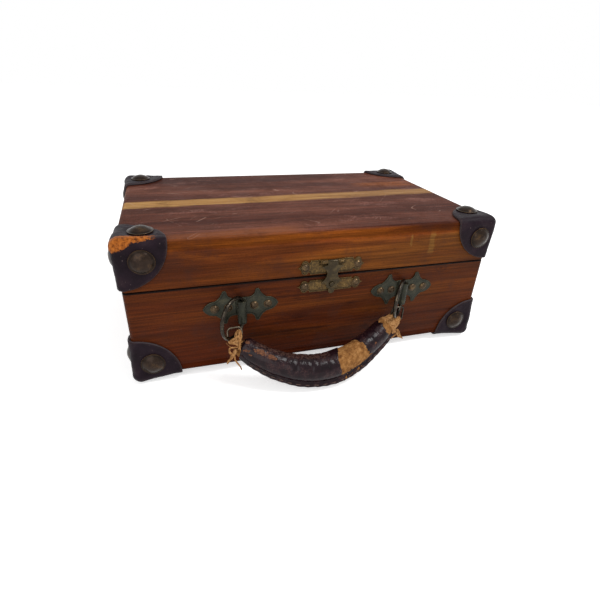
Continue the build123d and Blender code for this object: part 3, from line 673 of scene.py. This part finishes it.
# the bare orange patch where the front left corner of the lid has rubbed along its top edge
patch_low = scaled(fade(x, -0.113, -0.1285), -0.0052, top_z + 0.0012)
ragged = scaled(noise(place, 300.0, 5.0, 0.72), 0.0060, -0.0030)
above = fade(less(reckon("ADD", z, ragged), patch_low), -0.0003, 0.0003)
back_edge = fade(scaled(ragged, 0.5, y), -0.0745, -0.0755)
right_edge = fade(scaled(ragged, 3.0, x), -0.1035, -0.1085)
rubbed = noise(place, 520.0, 4.0, 0.7)
patch_colour = colours(rubbed, (0.34, (84, 42, 16)), (0.48, (146, 80, 28)), (0.66, (178, 104, 42)))
colour = tint(colour, patch_colour, above, back_edge, right_edge)
scuff = fade(noise(place, 760.0, 2.0), 0.70, 0.76)
colour = tint(colour, (120, 104, 100), scuff, 0.5)
feed(principled, Base_Color=colour)
feed(principled, Roughness=scaled(mottle, 0.35, 0.28))
raise_up(principled, skin_surface(place, 0.0009), 0.00018, 0.6)

for half in ("base", "lid"):
    for corner in ("front_left", "front_right", "back_left", "back_right"):
        node = f"{half}_corner_{corner}"
        leather = rebuilt(joined_copy(node, f"{half}_{corner}_leather"), 0.00055, 4)
        press_leather(leather)
        bpy.ops.object.shade_smooth()
        hand_over(leather, half, "corner_leather", corner_leather, node)

# Domed nails
# Twenty-four upholstery nails of pressed brass with a square steel shank, gone brown with age.
# The chest stands on four of them. Each head is slightly dented.


def domed_nail(radius, height, rim, lip, shank_width, shank_length):
    """One nail at the origin: a low dome on a thin flat lip, with its shank down -Z."""
    dome_foot = radius - lip
    dome_height = height - rim
    dome_radius = (dome_foot**2 + dome_height**2) / (2 * dome_height)
    bpy.ops.mesh.primitive_uv_sphere_add(
        segments=40, ring_count=64, radius=dome_radius, location=(0, 0, height - dome_radius)
    )
    nail = bpy.context.object
    bpy.ops.object.transform_apply(location=True)
    open_mesh(nail)
    bpy.ops.mesh.bisect(plane_co=(0, 0, rim), plane_no=(0, 0, 1), clear_inner=True)
    head_rings = ((radius / dome_foot, 0), (1, -rim))
    shank_rings = ((shank_width / 2 / radius, 0), (1, -shank_length), (0.25, -shank_width))
    for spread, drop in head_rings + shank_rings:
        bpy.ops.mesh.extrude_region_move(TRANSFORM_OT_translate={"value": (0, 0, drop)})
        bpy.ops.transform.resize(value=(spread, spread, 1), center_override=(0, 0, 0))
    bpy.ops.mesh.edge_face_add()
    bpy.ops.mesh.select_all(action="SELECT")
    bpy.ops.mesh.normals_make_consistent(inside=False)
    close_mesh()
    break_edges(nail, rim * 0.3, math.radians(35))
    return nail


dents = bpy.data.textures.new("nail_dents", "CLOUDS")
dents.noise_scale = 0.004
dents.noise_depth = 2


def drive_in(pattern, places, name, dent):
    """Copies one nail to each place, turned as it was driven, and joins the copies in one piece."""
    copies = []
    for number, (under, out) in enumerate(places):
        copy = new_piece(f"{name}_{number}", pattern.data.copy())
        upright = out.to_track_quat("Z", "Y").to_matrix().to_4x4()
        copy.data.transform(Matrix.Translation(under) @ upright @ Matrix.Rotation(1.7 * number, 4, "Z"))
        copies.append(copy)
    nails = as_one(copies, name)
    finish_with(nails, "DISPLACE", texture=dents, strength=dent, mid_level=0.5, texture_coords="LOCAL")
    bpy.ops.object.shade_smooth_by_angle(angle=math.radians(50))
    return nails


# the patina of old brass: brown or green film, worn thin in patches and at its edges
patina, given, made = new_group(
    "brass_patina",
    {
        "Place": ("NodeSocketVector", None),
        "Film": ("NodeSocketColor", (60, 50, 40)),
        "Dark Film": ("NodeSocketColor", (34, 28, 24)),
        "Metal": ("NodeSocketColor", (140, 112, 66)),
        "Spot Size": (number_kind, 0.003),
        "Worn Share": (number_kind, 0.3),
        "Edge Share": (number_kind, 0.5),
    },
    {"Color": "NodeSocketColor", "Roughness": number_kind, "Height": number_kind},
)
spot_scale = reckon("DIVIDE", 1.0, given["Spot Size"])
place = given["Place"]
spots = noise(place, spot_scale, 6.0, 0.62)
specks = noise(place, times(spot_scale, 4.3), 3.0, 0.5)
film = paint(fade(spots, 0.30, 0.72), given["Film"], given["Dark Film"])
edges = placed(edge_wear, {"Place": place, "Reach": 0.0006, "Patch Size": 0.0016})
thin = times(fade(less(1.0, spots), 0.52, 0.70), given["Worn Share"])
bare = reckon("MAXIMUM", thin, times(edges[0], given["Edge Share"]))
patina.links.new(paint(bare, film, given["Metal"]), made["Color"])
patina.links.new(scaled(specks, 0.26, 0.13), made["Roughness"])
patina.links.new(scaled(specks, 0.6, spots), made["Height"])


def old_brass(name, film, dark_film, metal, spot_size, worn_share, shine=0.85, edge_share=0.55):
    """Brass under its patina, with the film's two colours, the metal's and how much of it shows."""
    material, tree, principled, place = new_material(name, 0.4, 0.14, shine)
    values = {
        "Place": place,
        "Film": film,
        "Dark Film": dark_film,
        "Metal": metal,
        "Spot Size": spot_size,
        "Worn Share": worn_share,
        "Edge Share": edge_share,
    }
    brass = placed(patina, values)
    head_reach = marked(tree, "head_reach")
    # painted shade: a dark ring round the foot of each nail's dome that gives it shape; the pressed lines of
    # the plates get dark film
    head_rim_shade = between(head_reach, 0.86, 0.95, 0.10)
    dark = reckon("MAXIMUM", times(head_rim_shade, 0.50), times(marked(tree, "pressed"), 0.60))
    colour = paint(dark, brass["Color"], [0.45 * channel for channel in dark_film])
    colour = tint(colour, metal, marked(tree, "raised"), 0.38)
    # painted highlight on the lip of each nail's head, in the bare metal's colour
    colour = tint(colour, metal, fade(head_reach, 0.965, 0.985), 0.15)
    feed(principled, Base_Color=colour, Roughness=brass["Roughness"])
    raise_up(principled, brass["Height"], 0.00010, 0.5)
    return material


nail_brass = old_brass("brown_nail_brass", (52, 40, 32), (36, 27, 22), (112, 82, 44), 0.0060, 0.34, 0.6, 0.25)
corner_nail = domed_nail(
    nail_radius, nail_height, rim=0.0006, lip=0.0007, shank_width=0.0017, shank_length=0.0069
)
mark(corner_nail, "head_reach", [vertex.co.xy.length / nail_radius for vertex in corner_nail.data.vertices])
for node, body in zip(corner_nail_nodes, ("base", "base", "lid")):
    heads = drive_in(corner_nail, all_nail_places[node], f"domed_{node}", 0.0004)
    hand_over(heads, body, "nail_brass", nail_brass, node)
bpy.data.objects.remove(corner_nail)

# Handle plates
# Two plates of thin pressed steel with a pointed, notched outline. A strap of the same sheet is
# rolled into the upright barrel that holds the ring, and four domed tacks hold each plate.
tack_height = 0.0018


def pressed_copy(node, name, face_size, line_in, line_depth, relief):
    """A copy of a thin CAD plate with soft edges, a line pressed inside its outline and a relief."""
    piece = rebuilt(joined_copy(node, name), face_size, 2)
    bpy.ops.object.shade_smooth()
    rim = [vertex.co.copy() for vertex in piece.data.vertices if abs(vertex.normal.y) < 0.45]
    outline = kdtree.KDTree(len(rim))
    for number, place in enumerate(rim):
        outline.insert(place, number)
    outline.balance()
    moves = []
    pressed = []
    raised = []
    for vertex in piece.data.vertices:
        depth = line = scroll = 0.0
        if vertex.normal.y < -0.6:
            inside = outline.find(vertex.co)[2]
            line = math.exp(-(((inside - line_in) / 0.00032) ** 2))
            beyond = share_of(inside - line_in, 0.0003, 0.0009)
            winding = noise_at(vertex.co * 360) + 0.25 * noise_at(vertex.co * 900)
            scroll = beyond * math.exp(-((winding / 0.13) ** 2)) if relief else 0.0
            depth = line_depth * line - relief * scroll + 0.00005 * noise_at(vertex.co * 240)
        moves.append(depth)
        pressed.append(line if line_depth else 0.0)
        raised.append(scroll)
    for vertex, depth in zip(piece.data.vertices, moves):
        vertex.co.y += depth
    mark(piece, "pressed", pressed)
    mark(piece, "raised", raised)
    return piece


green_steel = old_brass("green_plate_metal", (50, 50, 40), (38, 39, 32), (104, 96, 72), 0.0050, 0.18, 0.35)
tack_brass = old_brass("worn_tack_brass", (78, 62, 44), (56, 45, 33), (140, 112, 68), 0.0050, 0.30, 0.6, 0.05)
tack = domed_nail(0.0028, tack_height, rim=0.0004, lip=0.0003, shank_width=0.0011, shank_length=0.0055)
for side in ("left", "right"):
    node = f"{side}_handle_plate"
    plate = pressed_copy(
        node, f"{side}_pointed_plate", face_size=0.00024, line_in=0.0009, line_depth=0.00012, relief=0.0
    )
    hand_over(plate, "base", "plate_metal", green_steel, node)
plate_tacks = drive_in(tack, nail_places("handle_plate_tacks", tack_height), "plate_tacks", 0.0003)
hand_over(plate_tacks, "base", "nail_brass", tack_brass, "handle_plate_tacks")

# Rings and end links
# Round wire, bent and closed. Each ring turns in the barrel of its plate, and a thin wire link
# hangs from it and carries one end of the handle. The left link is paler than the right one.
ring_metal = old_brass("brown_ring_wire", (60, 54, 46), (34, 30, 27), (134, 122, 100), 0.0035, 0.25, 0.9)
link_metal = old_brass("pale_link_wire", (120, 108, 92), (70, 62, 52), (176, 164, 142), 0.0030, 0.35, 0.9)
for node, body, metal in (
    ("left_ring", "left_ring", ring_metal),
    ("right_ring", "right_ring", ring_metal),
    ("left_end_link", "left_link", link_metal),
    ("right_end_link", "right_link", ring_metal),
):
    wire = joined_copy(node, f"{node}_wire")
    finish_with(wire, "SMOOTH", factor=0.3, iterations=1)
    bpy.ops.object.shade_smooth_by_angle(angle=math.radians(70))
    hand_over(wire, body, "ring_wire", metal, node)

# Handle
# A tube of dark polished leather, folded round a core and sewn together along its lower edge. It is
# worn through to tan leather in a band and at its right end, and frayed where it meets the links.
handle_lean = math.radians(44)
flange_way = Vector((0, -math.sin(handle_lean), -math.cos(handle_lean)))


def middle_line(node):
    """The middle of a long bent piece at even steps along X, and the step."""
    piece = joined_copy(node, "core_steps")
    finish_with(piece, "REMESH", mode="VOXEL", voxel_size=0.0011)
    step = 0.002
    slices = {}
    for vertex in piece.data.vertices:
        slices.setdefault(round(vertex.co.x / step), []).append(vertex.co.copy())
    bpy.data.objects.remove(piece)
    steps = sorted(number for number, points in slices.items() if len(points) > 20)[2:-2]
    middles = {}
    for number in steps:
        ys = [point.y for point in slices[number]]
        zs = [point.z for point in slices[number]]
        middles[number] = Vector((number * step, (min(ys) + max(ys)) / 2, (min(zs) + max(zs)) / 2))
    return middles, step


handle_middles, handle_step = middle_line("handle_core")
first_step = min(handle_middles)
last_step = max(handle_middles)


def handle_middle(x):
    """The middle of the handle at a place along X, carried on straight past its two ends."""
    number = min(max(math.floor(x / handle_step), first_step), last_step - 1)
    share = x / handle_step - number
    return handle_middles[number].lerp(handle_middles[number + 1], share)


def handle_way(x):
    """The way that the handle runs at a place along X."""
    return (handle_middle(x + 0.004) - handle_middle(x - 0.004)).normalized()


def on_handle(point):
    """How far along X a point's section stands, and the point's offset from the middle there."""
    x = point.x
    for _ in range(3):
        way = handle_way(x)
        x += (point - handle_middle(x)).dot(way) * way.x
    return x, point - handle_middle(x)


def handle_sides(x):
    """The ways along the handle, down to its seam and to its back, at a place along X."""
    way = handle_way(x)
    down = (flange_way - way * flange_way.dot(way)).normalized()
    return way, down, way.cross(down)


def round_handle(x, offset):
    """The turn of an offset round the handle, in degrees: 0 at the seam, -90 in front, 180 inside."""
    _, down, back = handle_sides(x)
    return math.degrees(math.atan2(offset.dot(back), offset.dot(down)))


band_start = 0.0011
band_end = 0.0223
wrap_start = 0.0397
fray_end = -0.0606
# rubbed places, each with its place along X, its turn, and half its length and height
scuff_places = (
    (-0.0580, -131, 0.0017, 9),
    (-0.0572, -89, 0.0026, 7),
    (-0.0492, -100, 0.0036, 15),
    (-0.0430, -98, 0.0028, 13),
    (-0.0545, -70, 0.0010, 5),
    (0.0291, -71, 0.0008, 5),
)
# creases across the inside of the bend, each with its place, half its width and its depth
creases = (
    (-0.0345, 0.0010, 0.5),
    (-0.0272, 0.0011, 0.9),
    (-0.0182, 0.0010, 1.0),
    (-0.0134, 0.0009, 0.6),
    (-0.0072, 0.0010, 0.8),
    (-0.0025, 0.0008, 0.5),
    (0.0290, 0.0011, 0.9),
    (0.0345, 0.0009, 0.7),
    (-0.0460, 0.0010, 0.4),
)


def worn_share(x, turn, point):
    """How far the dark skin of the leather is worn away at a place, from 0 to 1."""
    from_seam = abs(turn)
    ragged = 0.0008 * noise_at(point * 420) + 0.0005 * noise_at(point * 1300)
    slant = rise(from_seam, 90, 180)
    start = band_start + 0.0058 * slant
    in_band = rise(x + 0.5 * ragged, start - 0.0002, start + 0.0002)
    end = band_end - 0.0020 * slant + 0.0035 * rise(from_seam, 50, 20)
    in_band *= rise(x + 1.5 * ragged, end + 0.0003, end - 0.0003)
    start = wrap_start + 0.0022 * slant + 0.0010 * rise(from_seam, 70, 30)
    in_wrap = rise(x + 1.5 * ragged, start - 0.0003, start + 0.0003)
    in_fray = rise(x + 2 * ragged, fray_end + 0.0004, fray_end - 0.0004)
    clear_of_seam = rise(from_seam + 9000 * ragged, 22, 28)
    flecks = rise(noise_at(point * 560) + 0.5 * noise_at(point * 1500), 0.20, 0.34)
    on_flange = flecks * rise(from_seam, 14, 8) * rise(x, -0.004, 0.001) * rise(x, 0.019, 0.014)
    return max(in_band * clear_of_seam, in_wrap * rise(from_seam, 15, 24), in_fray, 0.9 * on_flange)


cover = rebuilt(joined_copy("handle_cover", "sewn_leather_handle"), 0.0005, 3)
worn = []
scuffed = []
rubbed = []
moved = []
stitch_step = 0.0052
skin_depth = 0.00070
scuff_depth = 0.00010
crease_depth = 0.00040
stitch_dip = 0.00020
for vertex in cover.data.vertices:
    x, offset = on_handle(vertex.co)
    turn = round_handle(x, offset)
    way_out = offset.normalized()
    outer = rise(vertex.normal.dot(way_out), 0.1, 0.5)
    gone = worn_share(x, turn, vertex.co)
    scuff = 0.0
    for scuff_x, scuff_turn, half_length, half_turn in scuff_places:
        away = math.hypot((x - scuff_x) / half_length, (turn - scuff_turn) / half_turn)
        broken = 0.55 * noise_at(vertex.co * 420) + 0.45 * noise_at(vertex.co * 1300)
        scuff = max(scuff, rise(away + broken, 1.30, 0.55))
    # the rubbed ridge on the inside of the bend, whose pale flecks in the material are partly a painted
    # highlight
    ridge = rise(abs(turn), 104, 132) * rise(x, -0.060, -0.050) * rise(x, 0.000, -0.006)
    height = -skin_depth * gone - scuff_depth * scuff * (1 - gone)
    for crease_x, width, depth in creases:
        wander = 0.0010 * noise_at(Vector((crease_x * 900, turn / 35, 0)))
        bend = rise(abs(turn), 25, 120) * math.exp(-(((x - crease_x - wander) / width) ** 2))
        height -= crease_depth * depth * bend * (1 - gone)
    height += 0.00032 * noise_at(vertex.co * 85) + 0.00010 * noise_at(vertex.co * 360)
    height += 0.00009 * noise_at(vertex.co * 900) * (gone + ridge)
    near_seam = rise(abs(turn), 20, 11)
    height -= stitch_dip * near_seam * (0.5 + 0.5 * math.cos(2 * math.pi * x / stitch_step))
    moved.append(vertex.co + way_out * outer * height)
    worn.append(gone)
    scuffed.append(scuff)
    rubbed.append(ridge)
reshape(cover, moved)
mark(cover, "worn", worn)
mark(cover, "scuffed", scuffed)
mark(cover, "rubbed", rubbed)
select_only(cover)
bpy.ops.object.shade_smooth()

# dark leather that has worn to tan suede, and is scuffed and rubbed where the cover is marked so; the rubbed
# ridge also carries a painted highlight
handle_leather, tree, principled, place = new_material("polished_handle_leather", 0.35, 0.15)
mottle = noise(place, 140.0, 6.0, 0.62)
fine = noise(place, 900.0, 4.0, 0.6)
dark = colours(mottle, (0.32, (17, 7, 11)), (0.52, (29, 14, 19)), (0.70, (46, 27, 30)))
crack = times(fade(cells(place, 430.0, "DISTANCE_TO_EDGE"), 0.07, 0.0), fade(mottle, 0.46, 0.60))
dark = tint(dark, (90, 62, 54), crack, 0.35)
dark = tint(dark, (118, 88, 74), fade(fine, 0.68, 0.78), 0.22)
blotch = noise(place, 330.0, 5.0, 0.7)
tan = colours(blotch, (0.34, (92, 56, 26)), (0.50, (136, 92, 48)), (0.66, (164, 120, 72)))
tan = tint(tan, (96, 58, 28), fade(noise(place, 520.0, 3.0), 0.60, 0.68), 0.6)
rust = colours(fine, (0.35, (74, 42, 28)), (0.65, (130, 84, 54)))
# the ridge: a brown tint of wear, and pale flecks that are partly a painted highlight
ridge_wear_and_sheen = marked(tree, "rubbed")
flecks = fade(scaled(ridge_wear_and_sheen, 0.16, noise(place, 620.0, 5.0, 0.75)), 0.60, 0.72)
dark = tint(dark, (60, 40, 36), ridge_wear_and_sheen, 0.15)
dark = tint(dark, (122, 92, 78), flecks, times(ridge_wear_and_sheen, 0.30))
worn_mask = fade(scaled(fine, 0.3, less(marked(tree, "worn"), 0.15)), 0.42, 0.58)
scuff_mask = fade(scaled(fine, 0.9, less(marked(tree, "scuffed"), 0.45)), 0.34, 0.72)
feed(principled, Base_Color=tint(tint(dark, rust, scuff_mask, 0.78), tan, worn_mask))
bare = reckon("MAXIMUM", worn_mask, times(scuff_mask, 0.7))
feed(principled, Roughness=reckon("MAXIMUM", scaled(mottle, 0.34, 0.06), times(bare, 0.85)))
height = scaled(crack, -0.4, times(skin_surface(place, 0.0010), 0.55))
height = scaled(noise(place, 700.0, 4.0), times(worn_mask, 2.2), height)
raise_up(principled, height, 0.00022, 0.7)
hand_over(cover, "handle", "handle_leather", handle_leather, "handle_cover")

core_cord, tree, principled, place = new_material("core_webbing", 0.9, 0.1)
weave = noise(place, (300, 1500, 1500), 3.0)
feed(principled, Base_Color=colours(weave, (0.3, (120, 96, 64)), (0.7, (168, 142, 104))))
raise_up(principled, weave, 0.0003)
dress(core_cord, "handle_core")

bare_leather, tree, principled, place = new_material("tan_frayed_leather", 0.85, 0.15)
fibre_noise = noise(place, 700.0, 5.0, 0.7)
tan_fibre = colours(fibre_noise, (0.32, (104, 66, 34)), (0.50, (150, 106, 62)), (0.68, (184, 142, 96)))
feed(principled, Base_Color=tan_fibre)
raise_up(principled, fibre_noise, 0.0004)
for side in ("left", "right"):
    node = f"{side}_handle_eye"
    eye = rebuilt(joined_copy(node, f"{side}_leather_eye"), 0.00025, 3)
    roughen(eye, (900, 0.00016))
    bpy.ops.object.shade_smooth()
    hand_over(eye, "handle", "raw_leather", bare_leather, node)

# Frayed ends of the handle
# At both ends the tan flesh side of the leather has torn loose. It stands round the right link as a
# ragged sleeve, and at the left it is pulled into strips over the link, with a hanging knot of two.
sleeve_start = 0.0440
sleeve_split = 0.0478
sleeve_end = 0.0528
sleeve_cuts = (0, -5, -4, -3, -2, -1, 1, 2, 3, 4)
bpy.ops.mesh.primitive_cylinder_add(vertices=72, radius=1, depth=2, end_fill_type="NOTHING")
sleeve = bpy.context.object
for cut in sleeve_cuts:
    open_mesh(sleeve)
    bpy.ops.mesh.bisect(plane_co=(0, 0, 0.16 * cut), plane_no=(0, 0, 1))
    close_mesh()
for vertex in sleeve.data.vertices:
    share = (vertex.co.z + 1) / 2
    turn = math.atan2(vertex.co.y, vertex.co.x)
    tear = 0.0008 * noise_at(Vector((math.cos(turn) * 2.2, math.sin(turn) * 2.2, 4.0)))
    tear += 0.0006 * noise_at(Vector((math.cos(turn) * 7.0, math.sin(turn) * 7.0, 9.0)))
    x = sleeve_start + (sleeve_end - sleeve_start + tear * share) * share
    _, down, back = handle_sides(x)
    out = down * math.cos(turn) + back * math.sin(turn)
    middle = handle_middle(x)
    hit, place, _, _ = cover.ray_cast(middle, out)
    reach = 0.0066 - 0.0012 * share
    if hit:
        reach = max(reach, (place - middle).length + 0.00035)
    vertex.co = middle + out * (reach + 0.00045 * noise_at(Vector((x * 300, turn * 2.0, 1.0))))
open_mesh(sleeve)
bpy.ops.mesh.select_all(action="DESELECT")
close_mesh()
for face in sleeve.data.polygons:
    x, offset = on_handle(face.center)
    turn = abs(round_handle(x, offset))
    face.select = x > sleeve_split and (turn > 158 or turn < 24)
bpy.ops.object.mode_set(mode="EDIT")
bpy.ops.mesh.delete(type="FACE")
bpy.ops.mesh.select_all(action="SELECT")
bpy.ops.mesh.normals_make_consistent(inside=False)
close_mesh()
finish_with(sleeve, "SOLIDIFY", thickness=0.0007, offset=-1)
finish_with(sleeve, "SUBSURF", levels=2, render_levels=2)
roughen(sleeve, (900, 0.00014))
bpy.ops.object.shade_smooth()
sleeve.name = "right_frayed_sleeve"
hand_over(sleeve, "handle", "raw_leather", bare_leather)


def torn_strip(width, thickness, points):
    """A soft strip of torn leather, thinner at its two ends, from sizes in millimetres."""
    line = bpy.data.curves.new("torn_line", "CURVE")
    line.dimensions = "3D"
    spline = line.splines.new("NURBS")
    spline.points.add(len(points) - 1)
    for number, (point, place) in enumerate(zip(spline.points, points)):
        point.co = [size / 1000 for size in place] + [1]
        end = min(number, len(points) - 1 - number)
        point.radius = 0.62 if end == 0 else 1.0
        point.tilt = 0.5 * math.sin(2.1 * number + place[0])
    spline.order_u = 3
    spline.use_endpoint_u = True
    line.resolution_u = 10
    line.bevel_depth = thickness / 2000
    line.bevel_resolution = 3
    line.extrude = max(width - thickness, 0) / 2000
    line.use_fill_caps = True
    select_only(new_piece("torn_strip", line))
    bpy.ops.object.convert(target="MESH")
    return bpy.context.object


# each strip with its width, its thickness and the points that it runs through, in millimetres
torn_pieces = {
    "left_frayed_leather": (
        (2.0, 0.9, ((-61.8, -92.5, 41.0), (-62.5, -94.2, 38.8), (-63.5, -96.0, 36.5), (-62.9, -97.5, 33.6),
            (-62.0, -99.0, 30.6))),
        (1.8, 0.9, ((-60.9, -92.8, 41.5), (-61.3, -95.0, 39.3), (-62.0, -96.8, 36.8), (-61.7, -98.3, 34.0),
            (-61.5, -99.8, 30.3))),
        (1.7, 1.0, ((-60.0, -93.0, 40.7), (-60.1, -95.4, 39.0), (-60.5, -97.0, 36.7), (-61.4, -98.6, 34.1),
            (-62.6, -99.6, 30.8))),
        (1.4, 0.9, ((-59.5, -93.7, 39.6), (-59.9, -96.0, 37.8), (-60.8, -97.9, 35.8),
            (-61.7, -99.2, 33.0))),
        (2.0, 0.9, ((-62.5, -92.6, 39.6), (-63.9, -94.2, 36.8), (-64.0, -96.0, 34.3),
            (-63.3, -97.8, 32.0))),
        (1.3, 0.7, ((-61.2, -96.3, 39.4), (-63.5, -96.6, 38.1), (-66.0, -96.0, 36.2),
            (-68.2, -95.0, 34.3))),
        (1.5, 0.8, ((-61.6, -97.6, 35.7), (-63.7, -97.3, 35.9), (-66.2, -96.5, 34.6),
            (-68.4, -95.4, 34.1))),
        (1.2, 0.7, ((-62.1, -98.3, 33.2), (-64.5, -97.6, 33.9), (-66.6, -96.8, 33.7),
            (-68.0, -95.8, 33.7))),
        (0.7, 0.6, ((-69.8, -94.0, 33.6), (-68.0, -95.4, 31.2), (-65.7, -96.7, 30.3),
            (-63.4, -98.0, 29.4))),
    ),
    "left_hanging_knot": (
        (1.5, 0.9, ((-62.6, -98.4, 31.6), (-66.2, -98.6, 32.3), (-68.3, -98.9, 32.0), (-68.5, -99.2, 30.0),
            (-67.2, -99.4, 27.5), (-65.6, -99.2, 26.6), (-64.1, -98.9, 28.4), (-64.4, -98.5, 30.3),
            (-65.7, -98.6, 28.3), (-66.4, -98.6, 26.0))),
        (1.7, 0.9, ((-64.5, -98.9, 30.1), (-65.6, -99.3, 26.7), (-67.3, -99.5, 24.4), (-69.6, -99.5, 22.5),
            (-70.2, -99.1, 20.3))),
        (1.1, 0.9, ((-64.9, -99.2, 29.7), (-65.5, -99.8, 25.6), (-65.0, -100.0, 22.5),
            (-63.1, -100.0, 19.3), (-61.9, -100.0, 17.6), (-61.1, -100.0, 14.6))),
        (1.2, 0.8, ((-67.1, -98.6, 26.6), (-67.5, -98.3, 24.4), (-68.5, -98.1, 22.0),
            (-69.1, -97.9, 20.0))),
    ),
    "right_frayed_bits": (
        (1.5, 0.8, ((50.4, -94.6, 25.6), (52.5, -94.4, 25.0), (54.4, -93.8, 24.2), (56.5, -93.2, 21.0),
            (57.7, -92.8, 17.4), (60.7, -92.6, 14.7))),
        (1.0, 0.7, ((51.0, -94.8, 24.6), (53.9, -93.9, 22.1), (53.5, -93.7, 20.2), (51.3, -94.0, 19.1),
            (49.6, -94.4, 17.4))),
        (1.2, 0.8, ((52.6, -94.2, 25.2), (55.3, -93.4, 22.6), (54.7, -93.2, 19.9), (57.2, -92.8, 16.1),
            (59.8, -92.6, 16.1))),
    ),
}
for name, strips in torn_pieces.items():
    torn = rebuilt(as_one([torn_strip(*strip) for strip in strips], name), 0.00022, 2)
    roughen(torn, (620, 0.00022), (1700, 0.00012))
    bpy.ops.object.shade_smooth()
    hand_over(torn, "handle", "raw_leather", bare_leather)

# Stitches of the handle
# Waxed thread along the sewn edge, through both thicknesses and shown on both faces. Each stitch
# is a short round bead that lies along the edge.
thread_radius = 0.0004
long_stitch = (4.4, 1.0, 1.0)
bpy.ops.mesh.primitive_uv_sphere_add(segments=8, ring_count=7, radius=thread_radius)
stitch = bpy.context.object
bpy.ops.transform.resize(value=long_stitch, center_override=(0, 0, 0))
bpy.ops.object.transform_apply(scale=True)
cover_places = [on_handle(vertex.co) for vertex in list(cover.data.vertices)[::3]]
stitches = []
first_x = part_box("handle_cover")[0].x + 0.012
last_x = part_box("handle_cover")[1].x - 0.008
x = first_x
while x < last_x:
    way, down, back = handle_sides(x)
    near = [offset for place, offset in cover_places if abs(place - x) < 0.001]
    edge = max((offset.dot(down) for offset in near), default=0.0)
    for face in (-1, 1):
        copy = new_piece("stitch_copy", stitch.data.copy())
        middle = handle_middle(x) + down * (edge - 0.0013) + back * face * 0.00135
        turn = Matrix((way, down, back)).transposed().to_4x4()
        copy.data.transform(Matrix.Translation(middle) @ turn)
        stitches.append(copy)
    x += stitch_step * way.x
bpy.data.objects.remove(stitch)
seam = as_one(stitches, "handle_seam_stitches")
bpy.ops.object.shade_smooth()
thread, tree, principled, place = new_material("waxed_thread", 0.6, 0.3)
lay = noise(place, 2200.0, 2.0)
feed(principled, Base_Color=colours(lay, (0.3, (40, 27, 26)), (0.7, (88, 64, 54))))
raise_up(principled, lay, 0.0002)
hand_over(seam, "handle", "handle_leather", thread)

# Hasp
# A pressed brass hasp: a leaf on the lid with two knuckles, a tongue that swings on a pin between
# them, and a catch plate on the base whose knob snaps through the tongue's hole.


sharp_angle = math.radians(30)


def sharp_copy(node, name, edge_width):
    """A CAD node's shape with its flat faces made whole and its sharp edges broken."""
    piece = joined_copy(node, name)
    open_mesh(piece)
    bpy.ops.mesh.dissolve_limited(angle_limit=math.radians(1.0))
    close_mesh()
    break_edges(piece, edge_width, sharp_angle)
    bpy.ops.object.shade_smooth_by_angle(angle=sharp_angle)
    return piece


hasp_brass = old_brass("yellow_hasp_brass", (86, 66, 36), (62, 48, 28), (132, 104, 58), 0.0042, 0.24, 0.4)
tongue_brass = old_brass("grey_tongue_brass", (60, 50, 33), (44, 37, 26), (120, 102, 66), 0.004, 0.20, 0.4)
for node, body, material in (("hasp_leaf", "lid", hasp_brass), ("catch_plate", "base", hasp_brass)):
    piece = pressed_copy(
        node, f"{node}_pressed", face_size=0.00018, line_in=0.00070, line_depth=0.00022, relief=0.00018
    )
    hand_over(piece, body, "hasp_brass", material, node)
for node, body in (("hasp_tongue", "hasp_tongue"), ("hasp_pin", "lid"), ("catch_knob", "base")):
    piece = sharp_copy(node, f"{node}_finished", 0.00018)
    hand_over(piece, body, "hasp_brass", tongue_brass, node)
for node, body in (("hasp_leaf_tacks", "lid"), ("catch_plate_tacks", "base")):
    tacks = drive_in(tack, nail_places(node, tack_height), f"domed_{node}", 0.0003)
    hand_over(tacks, body, "nail_brass", tack_brass, node)
bpy.data.objects.remove(tack)

# Back hinges
# Two small brass butt hinges let into the rims at the back, each with three knuckles on a pin and
# four countersunk screws. They are hidden in the usual view.
hinge_brass = old_brass("dull_hinge_brass", (118, 98, 60), (72, 60, 40), (160, 134, 84), 0.005, 0.3)
pin_steel = old_brass("hinge_pin_steel", (120, 116, 108), (80, 76, 70), (150, 146, 138), 0.003, 0.3)
for side in ("left", "right"):
    for leaf, body in (("lower", "base"), ("upper", "lid")):
        node = f"{side}_hinge_{leaf}_leaf"
        leaf_piece = sharp_copy(node, f"{side}_{leaf}_hinge_leaf", 0.00015)
        hand_over(leaf_piece, body, "hinge_brass", hinge_brass, node)
    dress(pin_steel, f"{side}_hinge_pin")
dress(pin_steel, "lower_hinge_screws", "upper_hinge_screws")
